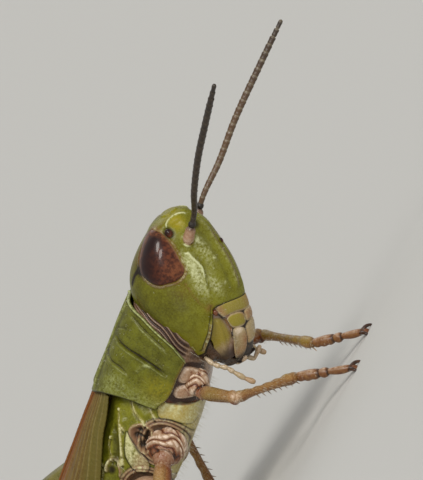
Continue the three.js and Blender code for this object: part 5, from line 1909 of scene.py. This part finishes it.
def make_jumping_leg(name):
    leg = "hind_leg_" + name
    hip, root, knee, ankle, toe = leg_joints("hind", name)
    coxa = 0.62
    clay = Clay(
        limb(
            leg + "_coxa", [hip, root],
            girths(coxa, [(0, 0.75, 0.8), (0.35, 1, 1), (0.75, 0.72, 0.72), (1, 0.45, 0.45)]),
            sides=80, rings=60, dome=(0.2, 0.4),
        ),
        on_floor,
    )
    share = (clay.at - hip) @ (root - hip) / np.dot(root - hip, root - hip)
    clay.push(-0.05 * peak(share - 0.7, 0.05))
    clay.paint(DARK, 0.6 * peak(share - 0.7, 0.05))
    clay.finish(FLESH_SHELL, "flesh_brown", leg + "_coxa")
    deep = 1.2
    thigh = girths(deep, [
        (0, 0.3, 0.24), (0.05, 0.62, 0.36), (0.14, 0.9, 0.42), (0.3, 1, 0.44), (0.48, 0.86, 0.4),
        (0.68, 0.52, 0.3), (0.84, 0.32, 0.23), (0.92, 0.36, 0.25), (0.97, 0.38, 0.26),
        (1, 0.28, 0.2),
    ])
    clay = Clay(
        limb(leg + "_femur", [root, knee], thigh, sides=120, rings=330, square=2.4, cap=0.02), on_floor,
    )
    length, way, across, above = limb_frame(root, knee)
    share = (clay.at - root) @ way / length
    lift = (clay.at - root) @ above
    out = (clay.at - root) @ across
    half = blend([(a, b) for a, b, _ in thigh], share)[:, 0]
    level = lift / half
    blade = smooth(0.04, 0.14, share) * smooth(0.86, 0.74, share)
    outer = smooth(0.02, 0.12, np.abs(out))
    # Keels frame the flat face; slanting ribs meet in a herringbone along its middle.
    for keel in (0.62, -0.55):
        clay.push(0.05 * peak(level - keel, 0.05) * blade * outer)
        clay.paint(PALE, 0.35 * peak(level - keel, 0.05) * blade * outer)
    face = smooth(0.62, 0.55, level) * smooth(-0.55, -0.48, level) * blade * outer
    rib = np.abs(((share * 34 - np.abs(level - 0.03) * 2.2) % 1) - 0.5) * 2
    clay.push((0.035 * smooth(0.45, 0.85, rib) - 0.03) * face)
    clay.paint(PALE, 0.22 * smooth(0.55, 0.9, rib) * face)
    clay.push(0.05 * peak(np.abs(np.abs(level) - 0.97), 0.05) * blade)
    clay.paint(YELLOW, 0.6 * smooth(-0.4, -0.8, level))
    clay.paint(DARK, 0.75 * smooth(0.9, 0.95, share) * smooth(-0.2, 0.3, level))
    clay.paint(WARM, 0.5 * smooth(0.84, 0.9, share))
    clay.finish(HIND_SHELL, "leg_olive", leg + "_femur")
    tibia = 0.21
    start = going(knee, ankle - knee, 0.05)
    shin = [
        (0, 0.2, 0.18), (0.025, 0.27, 0.22), (0.07, 0.2, 0.2), (0.5, tibia * 0.9, tibia * 0.9),
        (0.93, tibia * 1.1, tibia * 1.15), (1, tibia * 0.85, tibia * 0.85),
    ]
    clay = Clay(limb(leg + "_tibia", [start, ankle], shin, sides=56, rings=200), on_floor)
    length, way, side, above = limb_frame(start, ankle)
    share = (clay.at - start) @ way / length
    clay.paint(DARK, 0.7 * smooth(0.05, 0.0, share) + 0.5 * smooth(0.96, 1.0, share))
    clay.paint(YELLOW, 0.5 * peak(share - 0.12, 0.05))
    clay.finish(LEG_SHELL, "leg_rust", leg + "_tibia")
    thorns = []
    # Two rows of thorns run down the back of the shin, which faces away from the thigh.
    back = -above if (above @ (root - knee)) > 0 else above
    for i in range(12):
        for hand in (-1, 1):
            along = start + way * length * (0.24 + 0.062 * i)
            spot = along + side * hand * tibia * 0.6 + back * tibia * 0.6
            thorns.append(spine(spot, back + way * 0.7 + side * hand * 0.55, 0.3 + 0.01 * i, 0.045))
    for hand in (-1, 1):
        for turn, size in ((0.9, 0.5), (0.3, 0.36)):
            spot = ankle - way * 0.1 + side * hand * tibia * 0.7
            thorns.append(spine(spot, way + side * hand * 0.4 - back * (turn - 0.6), size, 0.05))
    hand_over(place_loose(joined(thorns, leg + "_thorns")), CLAW_HORN, "leg_rust")
    make_foot(leg, ankle, toe)


def thick_on(axis, sign, low, high, least=0.0):
    """How thickly hairs grow, by how far the surface faces along an axis."""
    return lambda at, out: least + smooth(low, high, sign * out[:, axis])


def make_hairs():
    """Short pale hairs over the shield, legs and face, and long soft ones under the chest."""
    back = (-0.9, 0, -0.2)
    legs = [f"{pair}_leg_{name}" for pair in ("fore", "middle") for name in SIDES]
    shins = [leg + "_tibia" for leg in legs] + [leg + "_foot_1" for leg in legs]
    thighs = [leg + "_femur" for leg in legs]
    breast = ["winged_chest", "neck_and_fore_chest"]
    face = ["head", "clypeus_and_labrum"]
    # Part, slot, pieces, how many, length, thickness, way they point, where they grow.
    coats = [
        ("back", "green_shell", ["pronotum"], 240, 0.075, 0.003, back, thick_on(2, 1, 0.3, 0.9, 0.08)),
        ("face", "green_shell", face, 160, 0.08, 0.0035, (0.1, 0, -0.6), thick_on(0, 1, 0.2, 0.8, 0.05)),
        ("breast", "flesh_brown", breast, 220, 0.24, 0.0035, (-0.3, 0, -0.5), thick_on(2, -1, 0.4, 0.9)),
        ("side", "chest_yellow", ["winged_chest"], 60, 0.14, 0.004, back,
         lambda at, out: smooth(0.5, 0.8, np.abs(out[:, 1]))),
        ("belly", "deep_green", ["abdomen"], 360, 0.16, 0.0045, (-0.9, 0, 0.1),
         thick_on(2, -1, 0.2, 0.8, 0.3)),
        ("thighs", "leg_rust", thighs, 260, 0.12, 0.004, (0, 0, -0.5), thick_on(2, -1, 0.0, 0.9, 0.2)),
        ("shins", "leg_rust", shins, 420, 0.12, 0.004, (0, 0, -0.9), lambda at, out: np.ones(len(at))),
    ]
    for seed, (part, *coat) in enumerate(coats, 11):
        grow_hairs("hairs_of_" + part, *coat, seed)


# ---- stage ----------------------------------------------------------------------------------
def make_stage():
    floor = fresh(bpy.ops.mesh.primitive_plane_add, "floor", size=8)
    made, tree, principled = material("pale matt floor", roughness=0.9)
    principled.inputs["Base Color"].default_value = (0.6, 0.6, 0.58, 1)
    floor.data.materials.append(made)
    floor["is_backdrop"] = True
    world = bpy.data.worlds.new("studio")
    world.use_nodes = True
    world.node_tree.nodes["Background"].inputs["Color"].default_value = (1.0, 0.99, 0.97, 1)
    world.node_tree.nodes["Background"].inputs["Strength"].default_value = 0.4
    bpy.context.scene.world = world


def aimed(piece, place, target, roll=0.0):
    """Puts a lamp or camera at a place, looking at a target, both in metres."""
    way = Vector(target) - Vector(place)
    turn = way.to_track_quat("-Z", "Y").to_matrix() @ Matrix.Rotation(roll, 3, "Z")
    piece.matrix_world = Matrix.Translation(Vector(place)) @ turn.to_4x4()


def add_lamp(name, kind, toward, strength, **settings):
    """A lamp that shines on the trunk's middle from the given way in the trunk's frame."""
    bpy.ops.object.light_add(type=kind)
    lamp = bpy.context.object
    lamp.name = name
    lamp.data.energy = strength
    for label, value in settings.items():
        setattr(lamp.data, label, value)
    middle = floor_point(on_trunk, 0, 0, -1.5) * MM
    way = turned([toward], PITCH)[0]
    aimed(lamp, middle + way / np.linalg.norm(way) * 0.5, middle)


def make_lights():
    add_lamp("key", "SUN", (0.8, -0.85, 0.95), 1.5, angle=math.radians(24), color=(1, 0.97, 0.92))
    add_lamp("front", "SUN", (0.57, -0.81, 0.13), 0.9, angle=math.radians(20), color=(1, 0.98, 0.95))
    add_lamp("rim", "SUN", (0.3, 0.9, 0.9), 0.35, angle=math.radians(40))


SENSOR_WIDTH = 36
# The width of what the camera sees at the animal's place, in this script's units.
FRAME_WIDTH = 13.333


def make_camera():
    # The lens looks level along the trunk, 25 degrees ahead of square-on to its right side,
    # and rolls until the trunk climbs steeply.
    facing, roll, far = math.radians(25), math.radians(67.6), 130.0
    ahead = np.array([math.cos(facing), math.sin(facing), 0])
    into = np.array([-math.sin(facing), math.cos(facing), 0])
    upward = np.array([0, 0, 1.0])
    right = math.cos(roll) * ahead - math.sin(roll) * upward
    above = math.sin(roll) * ahead + math.cos(roll) * upward
    middle = floor_point(on_trunk, 2.93, -0.5, -1.55)
    bpy.ops.object.camera_add()
    camera = bpy.context.object
    camera.name = "lens"
    right, above, into = (turned([v], PITCH)[0] for v in (right, above, into))
    turn = Matrix([right, above, -into]).transposed()
    place = (middle - into * far) * MM
    camera.matrix_world = Matrix.Translation(Vector(place)) @ turn.to_4x4()
    camera.data.sensor_width = SENSOR_WIDTH
    camera.data.lens = SENSOR_WIDTH * far / FRAME_WIDTH
    camera.data.clip_start = 0.001
    camera.data.clip_end = 20
    bpy.context.scene.camera = camera


def main():
    make_head()
    for name, side in SIDES.items():
        make_eye(name, side)
        make_feeler(name, side)
        make_forewing(name, side)
    make_ocelli()
    make_lips()
    make_jaws()
    make_under_mouth()
    make_palps()
    make_neck()
    make_pronotum()
    make_winged_chest()
    make_abdomen()
    make_tail()
    for name in SIDES:
        make_walking_leg("fore", name)
        make_walking_leg("middle", name)
        make_jumping_leg(name)
    make_hairs()
    make_stage()
    make_lights()
    make_camera()
    bpy.context.scene.view_settings.view_transform = "Standard"


main()
sizes = {"cad": CAD_BOX, "visual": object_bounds()}
{key: [list(corner) for corner in box] for key, box in sizes.items()}
